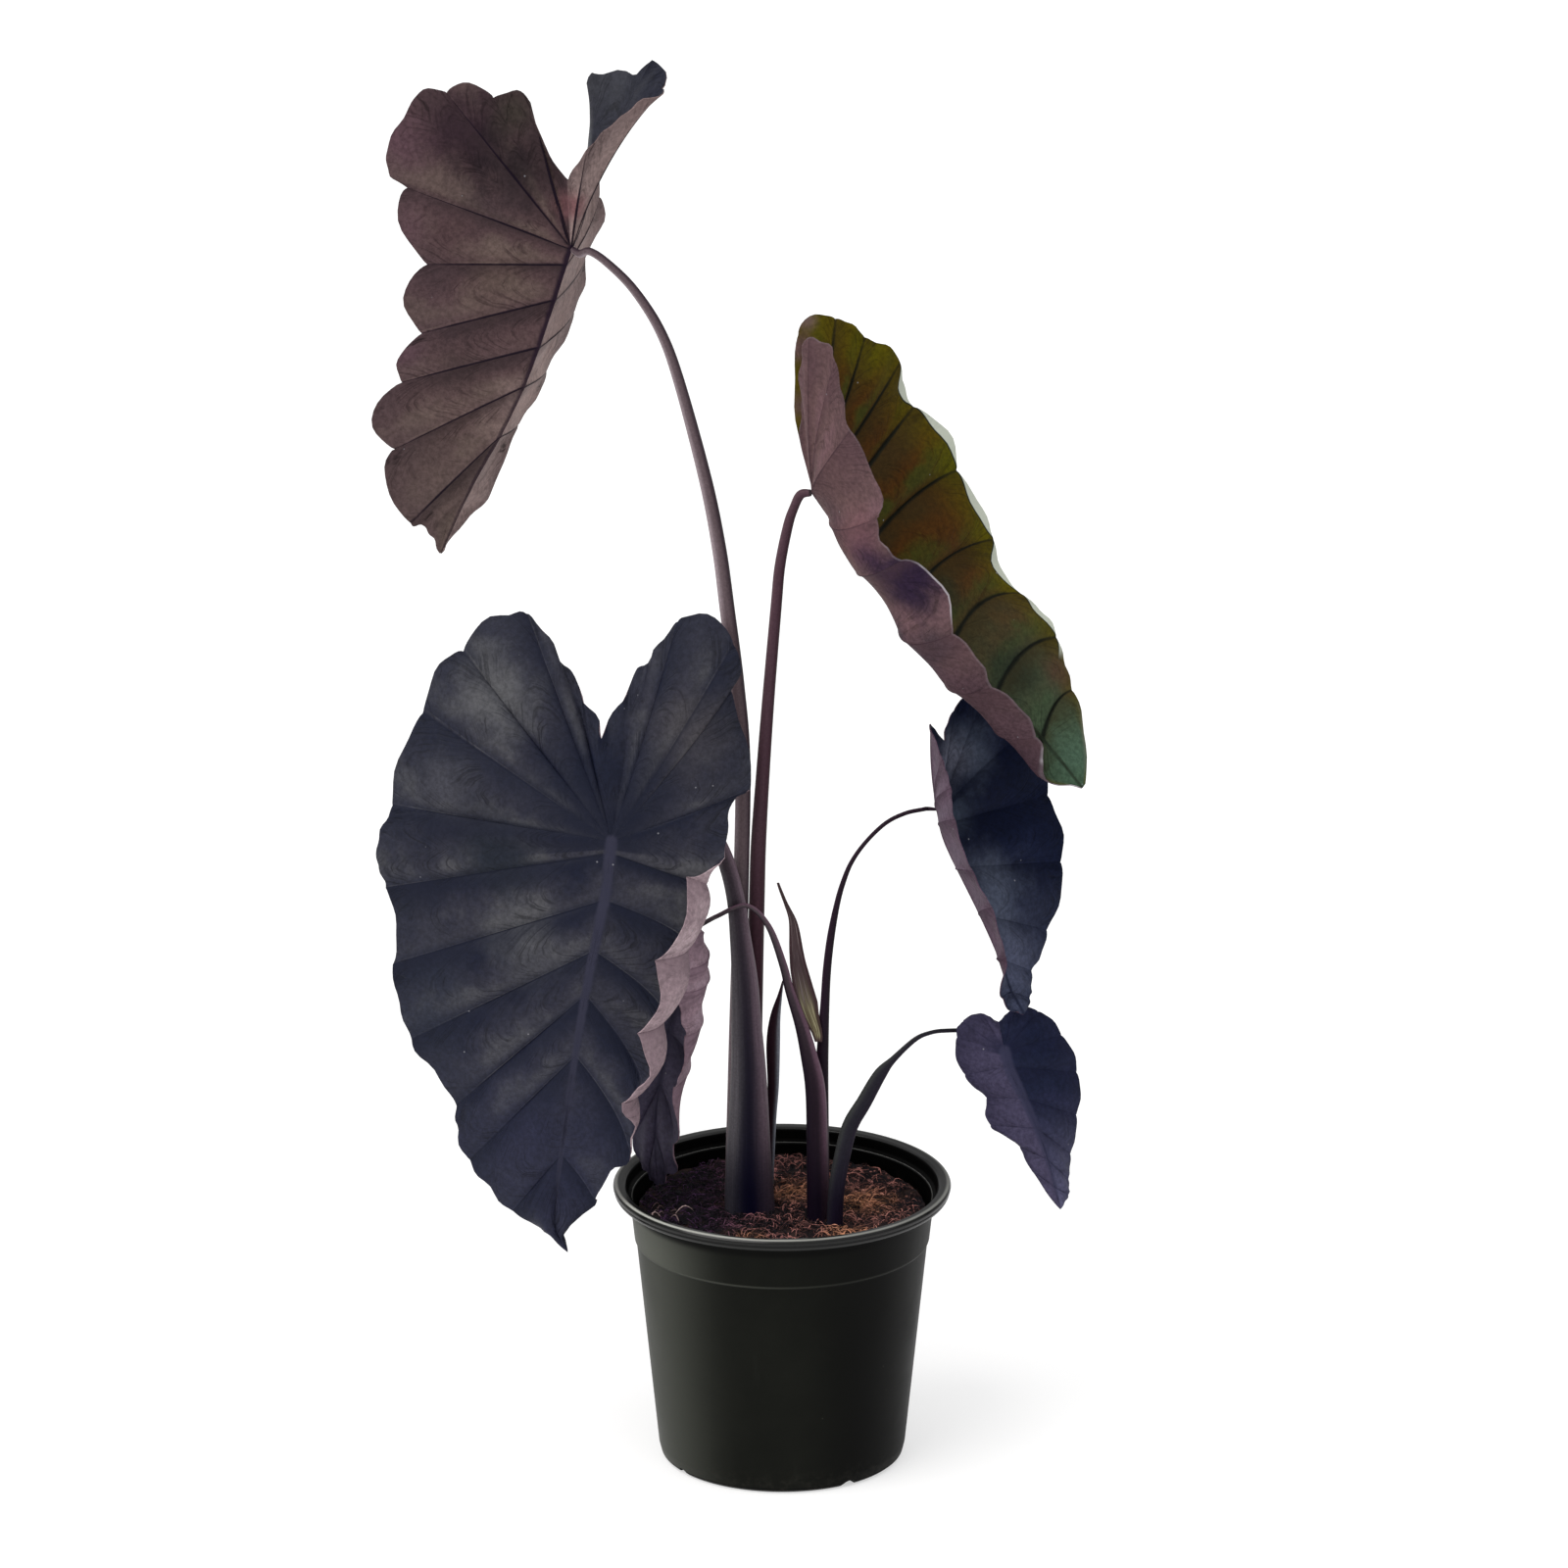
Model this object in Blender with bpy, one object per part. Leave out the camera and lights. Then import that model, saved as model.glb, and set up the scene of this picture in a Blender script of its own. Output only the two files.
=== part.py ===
"""Potted elephant ear: six dark heart-shaped leaves on tall stalks in a black nursery pot.

Metres, +Z up, +Y away from the front. The origin is the middle of the pot's underside.
"""

import math

import bmesh
import bpy
import numpy as np
from mathutils import Vector, noise

MM = 0.001

# Points on the plant are given as (right, up, back) in millimetres, as seen from the front and
# from this angle above level: right and up in the picture plane, back along the ground.
VIEW_RISE = math.radians(19.3)

# Pot
POT_HEIGHT = 148.0 * MM
RIM_RADIUS = 87.0 * MM
LIP_WIDTH = 7.0 * MM
LIP_DEPTH = 7.5 * MM
BAND_RADIUS = 78.2 * MM
BAND_BOTTOM = 118.0 * MM
BAND_STEP = 0.8 * MM
BASE_RADIUS = 62.8 * MM
FOOT_RADIUS = 60.0 * MM
FOOT_WIDTH = 5.0 * MM
POT_WALL = 1.5 * MM
GROOVE_INNER = 41.0 * MM
GROOVE_HEIGHT = 3.0 * MM
DRAIN_COUNT = 8
DRAIN_RADIUS = 4.0 * MM
NOTCH_COUNT = 4
NOTCH_WIDTH = 9.0 * MM
NOTCH_HEIGHT = 2.2 * MM
NOTCH_TURN = math.radians(34.0)
POT_SEGMENTS = 48

# Soil
SOIL_LEVEL = 134.0 * MM
SOIL_ROUGHNESS = 1.6 * MM
SOIL_GRAIN = 70.0
SOIL_RINGS = 6
HOLE_DEPTH = 18.0 * MM
HOLE_CLEARANCE = 0.45 * MM

# Leaf blades and stalks
GAP = 0.3 * MM
BLADE_HALF = 0.45 * MM
MARGIN_HALF = 0.35 * MM
VEIN_RIB = 0.8 * MM
MIDRIB_RIB = 1.1 * MM
RIB_SPACING = 10.0 * MM
QUILT = 0.09
RIPPLE = 0.06
STALK_SIDES = 8
STALK_RINGS_PER_GAP = 2
STALK_MEETING = 6.0 * MM
STALK_SEAT = 0.7 * MM
STALK_END_TAPER = 0.55

# Each leaf lists its midrib from the stalk joint to the tip, the bottom of the cleft between
# its lobes, where along the midrib each vein starts, and where the veins end on the margin,
# from the cleft round each lobe to the tip. Left and right are as on a blade that hangs tip
# down with its upper face to the front. A peak is where the margin bulges furthest (right, up)
# after a vein. A bow pulls the middle of a vein aside, by vein, and a quilt is how high the
# blade rises between its veins, as a share of their spacing, where that isn't the usual one.
LEAVES = {
    "a": {
        "midrib": [(-107, 615, 15), (-119, 579, 20), (-130, 549, 24), (-142, 524, 28),
                   (-159, 494, 32), (-174, 462, 34)],
        "cleft": (-108, 649, 14),
        "starts": [0, 0, 0, 0, 0, 0, 0, 0.05, 0.16, 0.31, 0.44, 0.61, 0.8, 1],
        "left": [(-99, 663, 8), (-84, 678, 14), (-62, 694, 30), (-67, 710, 52),
                 (-96.5, 705, 66), (-97, 672, 76), (-93, 643, 82), (-100.5, 613, 86),
                 (-106.5, 585, 84), (-121, 555, 80), (-135.5, 528, 72), (-151, 490, 58)],
        "right": [(-127, 685.5, 22), (-145.5, 689.5, 23), (-169, 692, 22), (-187.5, 686.5, 20),
                  (-200, 661.5, 18), (-189.5, 645.5, 20), (-180, 607, 22), (-183, 572.5, 26),
                  (-193, 548, 28), (-196.5, 514.5, 30), (-189, 477.5, 33), (-180.5, 473.5, 34)],
        "left_peaks": {1: (-92, 672), 2: (-73, 688), 3: (-59, 701), 4: (-80, 704),
                       5: (-98, 690), 6: (-96, 657), 7: (-93.5, 631.5), 8: (-103, 599),
                       9: (-113.5, 571), 10: (-127.5, 541.5), 11: (-142.5, 514),
                       12: (-163.5, 479)},
        "right_peaks": {0: (-119.5, 668.5), 1: (-134, 694.5), 2: (-158, 698), 3: (-178.5, 695),
                        4: (-195, 674.5), 5: (-197, 652), 6: (-193, 630), 7: (-191, 591.5),
                        8: (-194.5, 560), 9: (-208.5, 530), 10: (-201.5, 497),
                        11: (-184.5, 476), 12: (-177, 467.5)},
        "left_bow": {0: (0, 0, 0), 1: (0, 0, 3), 2: (-3, 0, 3), 3: (-9, 4.5, 4),
                     4: (-3, 4, 8), 5: (12, 0, 12), 6: (8, 0, 12), 7: (4, 0, 6),
                     8: (5, 0, 3), 13: (3, 0, -2)},
        "right_bow": {0: (0, 0, 0), 4: (0, 0, -6), 13: (0, 0, -2)},
        "plain": [2, 4, 5, 12],
        "scallop": 0.24,
        "rays": 3,
        "steps": 5,
    },
    "b": {
        "midrib": [(16, 492, -5), (36, 464, -8), (66, 431, -10), (96, 401, -12),
                   (126, 374, -14), (153, 342, -16)],
        "cleft": (10, 514, -3),
        "starts": [0, 0, 0, 0, 0, 0.08, 0.2, 0.36, 0.52, 0.68, 0.84, 1],
        "left": [(11.5, 541, -10), (14, 568, -28), (27, 556, -40), (34.5, 522, -48),
                 (48, 478, -56), (61, 457, -58), (87, 420, -51), (107, 393, -44),
                 (129, 368, -34), (134, 347, -24)],
        "right": [(8.5, 571, 22), (27, 579, 30), (42, 570, 34), (60, 558, 40), (67, 536, 42),
                  (89, 504, 42), (108, 469, 40), (122, 441, 36), (140, 419, 30),
                  (148, 392, 18)],
        "left_peaks": {1: (11, 556), 2: (23.5, 566), 3: (31.5, 540), 4: (50.5, 493),
                       5: (51.5, 465.5), 6: (81, 446), 7: (100.5, 407), 8: (123, 382),
                       9: (133, 358), 10: (142, 344.5)},
        "right_peaks": {0: (9, 543), 2: (36, 577.5), 3: (53, 567), 4: (62.5, 547),
                        5: (85, 523.5), 6: (103, 484.5), 7: (112.5, 455), 8: (135, 431.5),
                        9: (146, 405), 10: (155.5, 371.5)},
        "left_bow": {0: (0, 0, 0), 2: (-3, -4, -4), 5: (-14, -12, -6), 7: (-24, -23, -8),
                     9: (-20, -18, -5), 10: (-10, -9, -2), 11: (0, 0, 0)},
        "right_bow": {0: (0, 0, 0), 1: (1, 0, 4), 4: (0, -4, 8), 5: (0, 2, 8), 6: (-2, 12, 8),
                      7: (-5, 12, 8), 8: (-7, 18, 6), 9: (-5, 13, 4), 10: (-3, 9, 3),
                      11: (0, 0, 2)},
        "left_quilt": 0.0,
        "plain": [1],
        "scallop": 0.16,
        "rays": 3,
        "steps": 5,
    },
    "c": {
        "midrib": [(-87, 315, -25), (-90, 288, -29), (-97, 254, -33), (-103, 221, -35),
                   (-110, 176, -36), (-117, 118, -36), (-110, 104, -35)],
        "cleft": (-92, 367, -14),
        "starts": [0, 0, 0, 0, 0, 0, 0.015, 0.03, 0.14, 0.26, 0.37, 0.52, 0.75, 1],
        "left": [(-107, 399, 2), (-129, 428, 8), (-162, 411, 10), (-183, 380, 8),
                 (-199, 333, 4), (-207.5, 311, 2), (-203, 291, 0), (-199.5, 251.5, -4),
                 (-190, 213, -10), (-167, 179, -16), (-160, 151, -22), (-138, 125, -30)],
        "right": [(-74, 400, -2), (-54, 424, -2), (-25, 414, -7), (-26, 391, -9), (-16, 341, -14),
                  (-27, 325, -20), (-49, 297, -40), (-65, 254, -50), (-74, 217, -54),
                  (-82, 182, -52), (-79, 155, -44), (-97, 131, -38)],
        "left_peaks": {1: (-116.5, 416), 2: (-149, 429.5), 3: (-175, 405), 4: (-196.5, 356),
                       5: (-204, 323), 6: (-206, 300), 7: (-198, 271.5), 8: (-197, 231),
                       9: (-179.5, 196), 10: (-167.5, 165.5), 11: (-151, 136), 12: (-126.5, 116)},
        "right_peaks": {1: (-65, 413), 2: (-38, 430.5), 3: (-20.5, 400), 4: (-18, 365.5),
                        5: (-23, 337.5), 6: (-34, 304), 7: (-51.5, 273), 8: (-63.5, 233),
                        9: (-70, 196), 10: (-77.5, 169), 11: (-88, 143.5), 12: (-100, 121)},
        "left_bow": {0: (0, 0, 0), 5: (0, 0, -8), 13: (0, 0, -2)},
        "right_bow": {0: (0, 0, 0), 5: (4, 0, -4), 6: (6, -2, -3), 6.67: (36, -14, 4),
                      7: (52, -20, 9), 7.33: (62, -6, 17), 7.67: (61, -6, 17), 8: (53, -13, 9),
                      8.33: (62, -5, 16), 8.67: (58, -12, 15), 9: (41, -20, 6),
                      9.33: (50, -9, 14), 9.67: (44, -17, 13), 10: (32, -28, 5),
                      10.33: (34, -20, 6), 11: (12, -8, 2), 13: (0, 0, 0)},
        "right_quilt": 0.05,
        "plain": [1, 6],
        "scallop": 0.14,
        "rays": 3,
        "steps": 6,
    },
    "d": {
        "midrib": [(-46, 268, 8), (-54, 234, 10), (-61, 199, 12), (-65, 169, 12),
                   (-64, 137, 12)],
        "cleft": (-45, 281, 10),
        "starts": [0, 0, 0, 0, 0.05, 0.2, 0.4, 0.6, 0.8, 1],
        "left": [(-58, 296, 16), (-74, 286, 20), (-85, 264, 22), (-91, 239, 22),
                 (-90, 214, 22), (-86, 189, 20), (-77, 161, 18), (-69, 143, 14)],
        "right": [(-50, 289, 2), (-48, 268, -4), (-52, 249, -8), (-54, 237, -10),
                  (-50, 215, -12), (-56, 188, -9), (-55.5, 158, 0), (-59.5, 142, 8)],
        "left_bow": {0: (0, 0, 0), 4: (0, 0, -4), 9: (0, 0, 0)},
        "right_bow": {0: (0, 0, 0), 1: (6, 0, 2), 2: (13, 0, 4), 3: (23, -8, 6),
                      4: (27, -12, 7), 5: (20, -10, 6), 6: (20, -2, 4), 7: (3, 0, 1),
                      9: (0, 0, 0)},
        "plain": [],
        "scallop": 0.14,
        "rays": 2,
        "steps": 4,
    },
    "e": {
        "midrib": [(80, 331, 12), (84, 314, 8), (99, 283, 2), (109, 261, -2), (116, 241, -4),
                   (124, 226, -5)],
        "cleft": (83, 366, 16),
        "starts": [0, 0, 0, 0, 0.08, 0.28, 0.5, 0.72, 0.88, 1],
        "left": [(76, 374, 4), (82, 356, -14), (86, 342, -22), (88, 326, -26), (97, 300, -28),
                 (107, 281, -24), (114.5, 255, -16), (113.5, 234, -9)],
        "right": [(88, 381, 26), (104, 391, 36), (126, 374, 44), (136, 338, 46), (143, 304, 42),
                  (136, 269, 30), (128, 248, 14), (127, 234, 3)],
        "left_bow": {0: (0, 0, 0), 3: (-8, 0, 2), 9: (-3, 0, 0)},
        "right_bow": {0: (0, 0, 0), 5: (0, 0, 8), 9: (0, 0, 0)},
        "plain": [],
        "scallop": 0.12,
        "rays": 2,
        "steps": 4,
    },
    "f": {
        "midrib": [(114, 207, -8), (117, 197, -10), (126, 178, -14), (135, 156, -16),
                   (143, 126, -18)],
        "cleft": (111, 222, 0),
        "starts": [0, 0, 0, 0, 0.1, 0.3, 0.5, 0.7, 0.87, 1],
        "left": [(103, 226, 0), (93, 222, -3), (90, 214, -4), (94, 195, -4), (105, 183, -5),
                 (107, 169, -6), (122, 158, -11), (128, 146, -14)],
        "right": [(118, 228, 4), (131, 227, 6), (143, 215, 6), (151, 196, 6), (151, 174, 2),
                  (148, 154, -4), (147, 141, -10), (147, 133, -14)],
        "left_bow": {0: (0, 0, -2), 9: (0, 0, -2)},
        "right_bow": {0: (0, 0, -2), 9: (0, 0, -2)},
        "plain": [],
        "scallop": 0.12,
        "rays": 2,
        "steps": 4,
    },
}

# Each stalk runs from its hole in the soil up to its blade. The first two places are the
# bottom of the hole and the soil's surface, as (x, y) of the standing foot. Then follow points
# (right, up, back) with the half width and half depth of the stalk there, in millimetres.
STALKS = {
    "a": {
        "foot": (-25, 7, 4.6, 4.4),
        "path": [((-23, 215, 6), 4.3, 4.1), ((-21, 290, 4.5), 4.0, 4.0), ((-20, 354, 5), 4.0, 4.0),
                 ((-23, 394, 5), 4.0, 4.0), ((-28, 434, 5), 3.9, 3.9), ((-32, 464, 5), 3.7, 3.7),
                 ((-39, 499, 5), 3.4, 3.4), ((-52.5, 549, 5), 2.9, 2.9), ((-62, 574, 5), 2.6, 2.6),
                 ((-75, 594, 5), 2.3, 2.3), ((-88, 607, 5), 2.1, 2.1), ((-97, 613, 6), 2.0, 2.0)],
    },
    "b": {
        "foot": (-15.5, 12, 4.5, 4.4),
        "path": [((-14.3, 220, 11), 4.3, 4.3), ((-12.8, 288, 9), 4.1, 4.1),
                 ((-12, 314, 9), 4.0, 4.0), ((-10, 346, 8), 3.6, 3.6), ((-7, 387, 6), 3.2, 3.2),
                 ((-3, 434, 3), 2.9, 2.9), ((-1, 455, 2), 2.8, 2.8), ((3, 475, 1), 2.6, 2.6),
                 ((6, 484, 0), 2.4, 2.4)],
    },
    "c": {
        "foot": (-16.5, -7.5, 13.0, 8.5),
        "path": [((-17, 148, -7.5), 11.8, 8.0), ((-17, 193, -7), 9.3, 7.0),
                 ((-18, 219, -6), 7.9, 6.4), ((-19, 242, -5), 6.9, 5.8), ((-21, 263, -4.5), 5.6, 5.2),
                 ((-24, 287, -4.8), 4.6, 4.5), ((-30, 308, -4), 4.3, 4.3), ((-40, 325, -2), 4.0, 4.0),
                 ((-54, 336, 0), 3.6, 3.6), ((-68, 337, -4), 3.2, 3.2), ((-79, 329, -10), 2.9, 2.9)],
    },
    "d": {
        "foot": (18.5, -21.5, 5.8, 5.6),
        "path": [((18, 164, -21), 5.5, 5.2), ((17, 188, -19), 5.2, 4.8), ((14, 204, -17), 4.4, 4.0),
                 ((10, 220, -15), 3.4, 3.2), ((4, 238, -13), 2.4, 2.2), ((1, 250, -12.5), 2.1, 2.0),
                 ((-4, 265, -12), 1.8, 1.8), ((-8, 273, -12), 1.5, 1.5), ((-13, 279, -12), 1.3, 1.3),
                 ((-19, 282, -12), 1.2, 1.2), ((-26, 280, -11), 1.2, 1.2), ((-32, 277, -4), 1.2, 1.2),
                 ((-36, 275, 4), 1.2, 1.2)],
    },
    "e": {
        "foot": (20.5, -9.5, 4.0, 4.0),
        "path": [((20.5, 189, -9.5), 3.4, 3.4), ((21, 212, -9), 3.0, 3.0), ((22, 232, -8), 2.4, 2.4),
                 ((23, 249, -7), 2.2, 2.2), ((25, 266, -5), 2.0, 2.0), ((28, 282, -3), 1.6, 1.6),
                 ((31, 293, -1), 1.4, 1.4), ((35.5, 304, 2), 1.2, 1.2), ((43, 314.5, 6), 1.1, 1.1),
                 ((53, 324, 10), 1.1, 1.1), ((63, 329, 13), 1.1, 1.1), ((72, 331, 14), 1.1, 1.1)],
    },
    "f": {
        "foot": (27, -30, 4.2, 4.0),
        "path": [((28, 137, -30), 4.2, 3.8), ((31, 154, -28), 4.2, 3.4), ((35, 169, -25), 4.2, 3.0),
                 ((42, 181, -22), 4.0, 2.6), ((50, 195, -18), 3.4, 2.2), ((57, 203, -15), 1.8, 1.8),
                 ((68, 213, -8), 1.3, 1.3), ((76, 216.5, -3), 1.1, 1.1), ((84, 217.5, 2), 1.1, 1.1),
                 ((94, 217, 6), 1.1, 1.1), ((104, 212, 7), 1.1, 1.1)],
    },
}

# Slender dark sheath behind the main stalk, and the dry papery sheath beside stalk d.
DARK_SHEATH = {
    "foot": (-7, 13, 2.4, 2.0),
    "path": [((-5.5, 169, 12.5), 2.5, 1.6), ((-4.5, 189, 12), 3.0, 1.5), ((-4.5, 210, 11), 3.6, 1.3),
             ((-3.5, 224, 10), 2.8, 1.1), ((-1, 236, 9), 1.2, 0.8), ((0.5, 243, 8), 0.5, 0.5)],
}
DRY_SHEATH = {
    "axis": [(18.6, 212, -13.5), (17.6, 217.5, -11.5), (14.6, 226, -9), (12.3, 234, -7),
             (8.9, 249, -6.5), (7.4, 259, -6.5), (5.5, 274, -6.5), (1.5, 284, -6.5),
             (-2, 293.5, -6.5)],
    "half_widths": [1.6, 2.7, 4.4, 5.5, 4.6, 3.4, 1.9, 1.0, 0.4],
    "hollow": 0.55,
    "flat_width": 3.5,
    "half_thickness": 0.4,
    "columns": 6,
    "rows": 14,
}

# Colours are linear, as (red, green, blue)
COLOURS = {
    "pot": ((0.012, 0.014, 0.012), 0.5),
    "soil": ((0.045, 0.022, 0.013), 0.95),
    "blade_dark": ((0.014, 0.015, 0.026), 0.5),
    "blade_brown": ((0.058, 0.038, 0.036), 0.6),
    "blade_olive": ((0.06, 0.045, 0.02), 0.55),
    "stalk": ((0.042, 0.026, 0.034), 0.5),
    "sheath_dark": ((0.03, 0.014, 0.02), 0.55),
    "sheath_dry": ((0.22, 0.15, 0.09), 0.8),
}
BLADE_FINISH = {"a": "blade_brown", "b": "blade_olive"}


def clear_scene():
    """Remove the objects of the open file."""
    for item in list(bpy.data.objects):
        bpy.data.objects.remove(item, do_unlink=True)


def material(name):
    """Principled material of one named colour."""
    found = bpy.data.materials.get(name)
    if found:
        return found
    colour, roughness = COLOURS[name]
    made = bpy.data.materials.new(name)
    made.use_nodes = True
    shader = made.node_tree.nodes["Principled BSDF"]
    shader.inputs["Base Color"].default_value = (*colour, 1.0)
    shader.inputs["Roughness"].default_value = roughness
    shader.inputs["Metallic"].default_value = 0.0
    return made


def add_object(name, points, faces, finish, sharp_angle=60.0):
    """Link a smooth-shaded mesh object of the given points and faces."""
    mesh = bpy.data.meshes.new(name)
    mesh.from_pydata([tuple(point) for point in points], [], faces)
    mesh.validate()
    mesh.shade_smooth()
    mesh.set_sharp_from_angle(angle=math.radians(sharp_angle))
    item = bpy.data.objects.new(name, mesh)
    if finish:
        mesh.materials.append(material(finish))
    bpy.context.scene.collection.objects.link(item)
    return item


def seen(point):
    """World place or offset, in metres, of one in millimetres right, up and back as seen."""
    right, up, back = point
    height = (up - back * math.sin(VIEW_RISE)) / math.cos(VIEW_RISE)
    return np.array((right, back, height)) * MM


def smooth_point(points, place):
    """Point at a place, counted in points from 0, on the smooth curve through the points."""
    last = len(points) - 1
    index = min(int(place), last - 1)
    part = place - index
    here = points[index]
    after = points[index + 1]
    before = points[index - 1] if index > 0 else 2 * here - after
    beyond = points[index + 2] if index + 2 <= last else 2 * after - here
    return 0.5 * (2 * here + (after - before) * part
                  + (2 * before - 5 * here + 4 * after - beyond) * part ** 2
                  + (3 * here - before - 3 * after + beyond) * part ** 3)


def midrib_point(points, part):
    """Point on the midrib at a part of its length, 0 at the stalk joint and 1 at the tip."""
    lengths = [float(np.linalg.norm(b - a)) for a, b in zip(points, points[1:])]
    reached = np.concatenate(([0.0], np.cumsum(lengths)))
    place = float(np.interp(part * reached[-1], reached, range(len(points))))
    return smooth_point(points, place)


def bow_at(bows, place):
    """Sideways pull on the middle of a vein, between the veins that state one."""
    rows = sorted(bows)
    offset = [np.interp(place, rows, [bows[row][axis] for row in rows]) for axis in range(3)]
    return seen(offset)


def margin_point(leaf, side, start, place):
    """Point on the scalloped margin at a place counted in veins from the cleft."""
    ends = [np.array(point, float) for point in (leaf["cleft"], *leaf[side], leaf["midrib"][-1])]
    gap = min(int(place), len(ends) - 2)
    swell = math.sin(math.pi * (place - gap)) ** 0.8 if place > gap else 0.0
    base = smooth_point(ends, place)
    peak = leaf.get(side + "_peaks", {}).get(gap)
    if peak:
        bulge = np.array((*peak, 0.0)) - smooth_point(ends, gap + 0.5) * (1.0, 1.0, 0.0)
        return seen(base + bulge * swell)
    outward = seen(base) - start
    if gap == 0 or place == len(ends) - 1:
        return seen(base)
    chord = float(np.linalg.norm(seen(ends[gap + 1] - ends[gap])))
    at_the_tip = gap == len(ends) - 2
    bulge = leaf["scallop"] * chord * (0.4 if at_the_tip else 1.0)
    return seen(base) + outward / float(np.linalg.norm(outward)) * bulge * swell


def ray_point(start, middle, end, part):
    """Point on the curved ray from the midrib to the margin."""
    return start * (1 - part) ** 2 + middle * 2 * part * (1 - part) + end * part ** 2


def surface_normals(points, triangles):
    """Unit normal at each point of a surface of triangles."""
    corners = points[triangles]
    faces = np.cross(corners[:, 1] - corners[:, 0], corners[:, 2] - corners[:, 0])
    normals = np.zeros_like(points)
    for corner in range(3):
        np.add.at(normals, triangles[:, corner], faces)
    lengths = np.linalg.norm(normals, axis=1, keepdims=True)
    return normals / np.maximum(lengths, 1e-12)


class BladeSurface:
    """Middle surface of one blade, as rays that run from the midrib out to the margin."""

    def __init__(self, leaf):
        self.leaf = leaf
        self.points = []
        self.lift = []
        self.rib = []
        self.half = []
        self.triangles = []
        self.margins = []
        self.midrib = [seen(point) for point in leaf["midrib"]]
        self.joint = self.add(self.midrib[0], 0.0, MIDRIB_RIB, BLADE_HALF)
        self.spine = {}
        self.first_ray = {}
        for side, turn in (("left", 1), ("right", -1)):
            self.add_side(side, turn)
        self.shape()

    def add(self, point, lift, rib, half):
        """Add one point with its lift, rib height and half thickness."""
        self.points.append(np.array(point))
        self.lift.append(lift)
        self.rib.append(rib)
        self.half.append(half)
        return len(self.points) - 1

    def spine_index(self, part):
        """Point of the midrib that both sides share."""
        if part <= 0.0:
            return self.joint
        key = round(part, 6)
        if key not in self.spine:
            place = midrib_point(self.midrib, part)
            rib = MIDRIB_RIB * (1.0 - 0.75 * part)
            self.spine[key] = self.add(place, 0.0, rib, BLADE_HALF)
        return self.spine[key]

    def ray(self, side, place):
        """Indices of one ray's points, from the midrib to the margin."""
        leaf = self.leaf
        if place == 0 and self.first_ray:
            return self.first_ray[0]
        start_part = self.start_part(place)
        first = self.spine_index(start_part)
        if place == len(leaf["starts"]) - 1:
            return [first] * (leaf["steps"] + 1)
        curve = self.curve(side, place)
        neighbours = self.curve(side, int(place)), self.curve(side, int(place) + 1)
        part = place - int(place)
        is_vein = part < 1e-6 and int(place) not in leaf["plain"]
        found = [first]
        for step in range(1, leaf["steps"] + 1):
            reach = step / leaf["steps"]
            before, after = (ray_point(*neighbour, reach) for neighbour in neighbours)
            spacing = float(np.linalg.norm(after - before))
            quilt = leaf.get(side + "_quilt", QUILT)
            puff = quilt * math.sin(math.pi * reach) - RIPPLE * reach ** 4
            lift = spacing * puff * math.sin(math.pi * part)
            rib = VEIN_RIB * (1.0 - reach) * min(1.0, spacing / RIB_SPACING) if is_vein else 0.0
            half = BLADE_HALF + (MARGIN_HALF - BLADE_HALF) * reach
            found.append(self.add(ray_point(*curve, reach), lift, rib, half))
        if place == 0:
            self.first_ray[0] = found
        return found

    def start_part(self, place):
        """Part of the midrib's length at which the ray at a place starts."""
        starts = self.leaf["starts"]
        return float(np.interp(place, range(len(starts)), starts))

    def curve(self, side, place):
        """Start, pulled middle and end of the ray at a place counted in veins from the cleft."""
        leaf = self.leaf
        start = midrib_point(self.midrib, self.start_part(place))
        end = margin_point(leaf, side, start, place)
        return start, (start + end) / 2 + bow_at(leaf[side + "_bow"], place), end

    def add_side(self, side, turn):
        """Fill one side of the blade with triangles between neighbouring rays."""
        leaf = self.leaf
        gaps = len(leaf["starts"]) - 1
        places = [step / leaf["rays"] for step in range(gaps * leaf["rays"])] + [gaps]
        rays = [self.ray(side, place) for place in places]
        for before, after in zip(rays, rays[1:]):
            for step in range(leaf["steps"]):
                corners = (before[step], before[step + 1], after[step + 1], after[step])
                self.add_face(corners, turn)
            rim = (before[-1], after[-1]) if turn > 0 else (after[-1], before[-1])
            self.margins.append(rim)

    def add_face(self, corners, turn):
        """Add the one or two triangles of a four-cornered face, upper face outward."""
        first, second, third, fourth = corners
        for triangle in ((first, second, third), (first, third, fourth)):
            if len(set(triangle)) == 3:
                self.triangles.append(triangle if turn > 0 else triangle[::-1])

    def shape(self):
        """Raise the quilting between the veins, and find the final normals."""
        self.points = np.array(self.points)
        self.triangles = np.array(self.triangles)
        lift = np.array(self.lift)[:, None]
        self.points = self.points + surface_normals(self.points, self.triangles) * lift
        self.normals = surface_normals(self.points, self.triangles)
        self.half = np.array(self.half)
        self.rib = np.array(self.rib)

    def upper(self):
        """Points of the upper face."""
        return self.points + self.normals * self.half[:, None]

    def under(self):
        """Points of the underside, with the ribs standing out."""
        return self.points - self.normals * (self.half + self.rib)[:, None]

    def seat(self):
        """Place on the underside where the stalk ends, and the direction down the stalk."""
        return self.under()[self.joint], -self.normals[self.joint]


def sheet_solid(name, upper, under, triangles, margins, finish):
    """Closed solid of a thin sheet, from the points of its two faces and its margin edges."""
    count = len(upper)
    faces = [tuple(int(index) for index in triangle) for triangle in triangles]
    faces += [tuple(int(index) + count for index in triangle[::-1]) for triangle in triangles]
    for start, end in margins:
        faces.append((start + count, end + count, end))
        faces.append((start + count, end, start))
    return add_object(name, np.concatenate((upper, under)), faces, finish)


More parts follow.
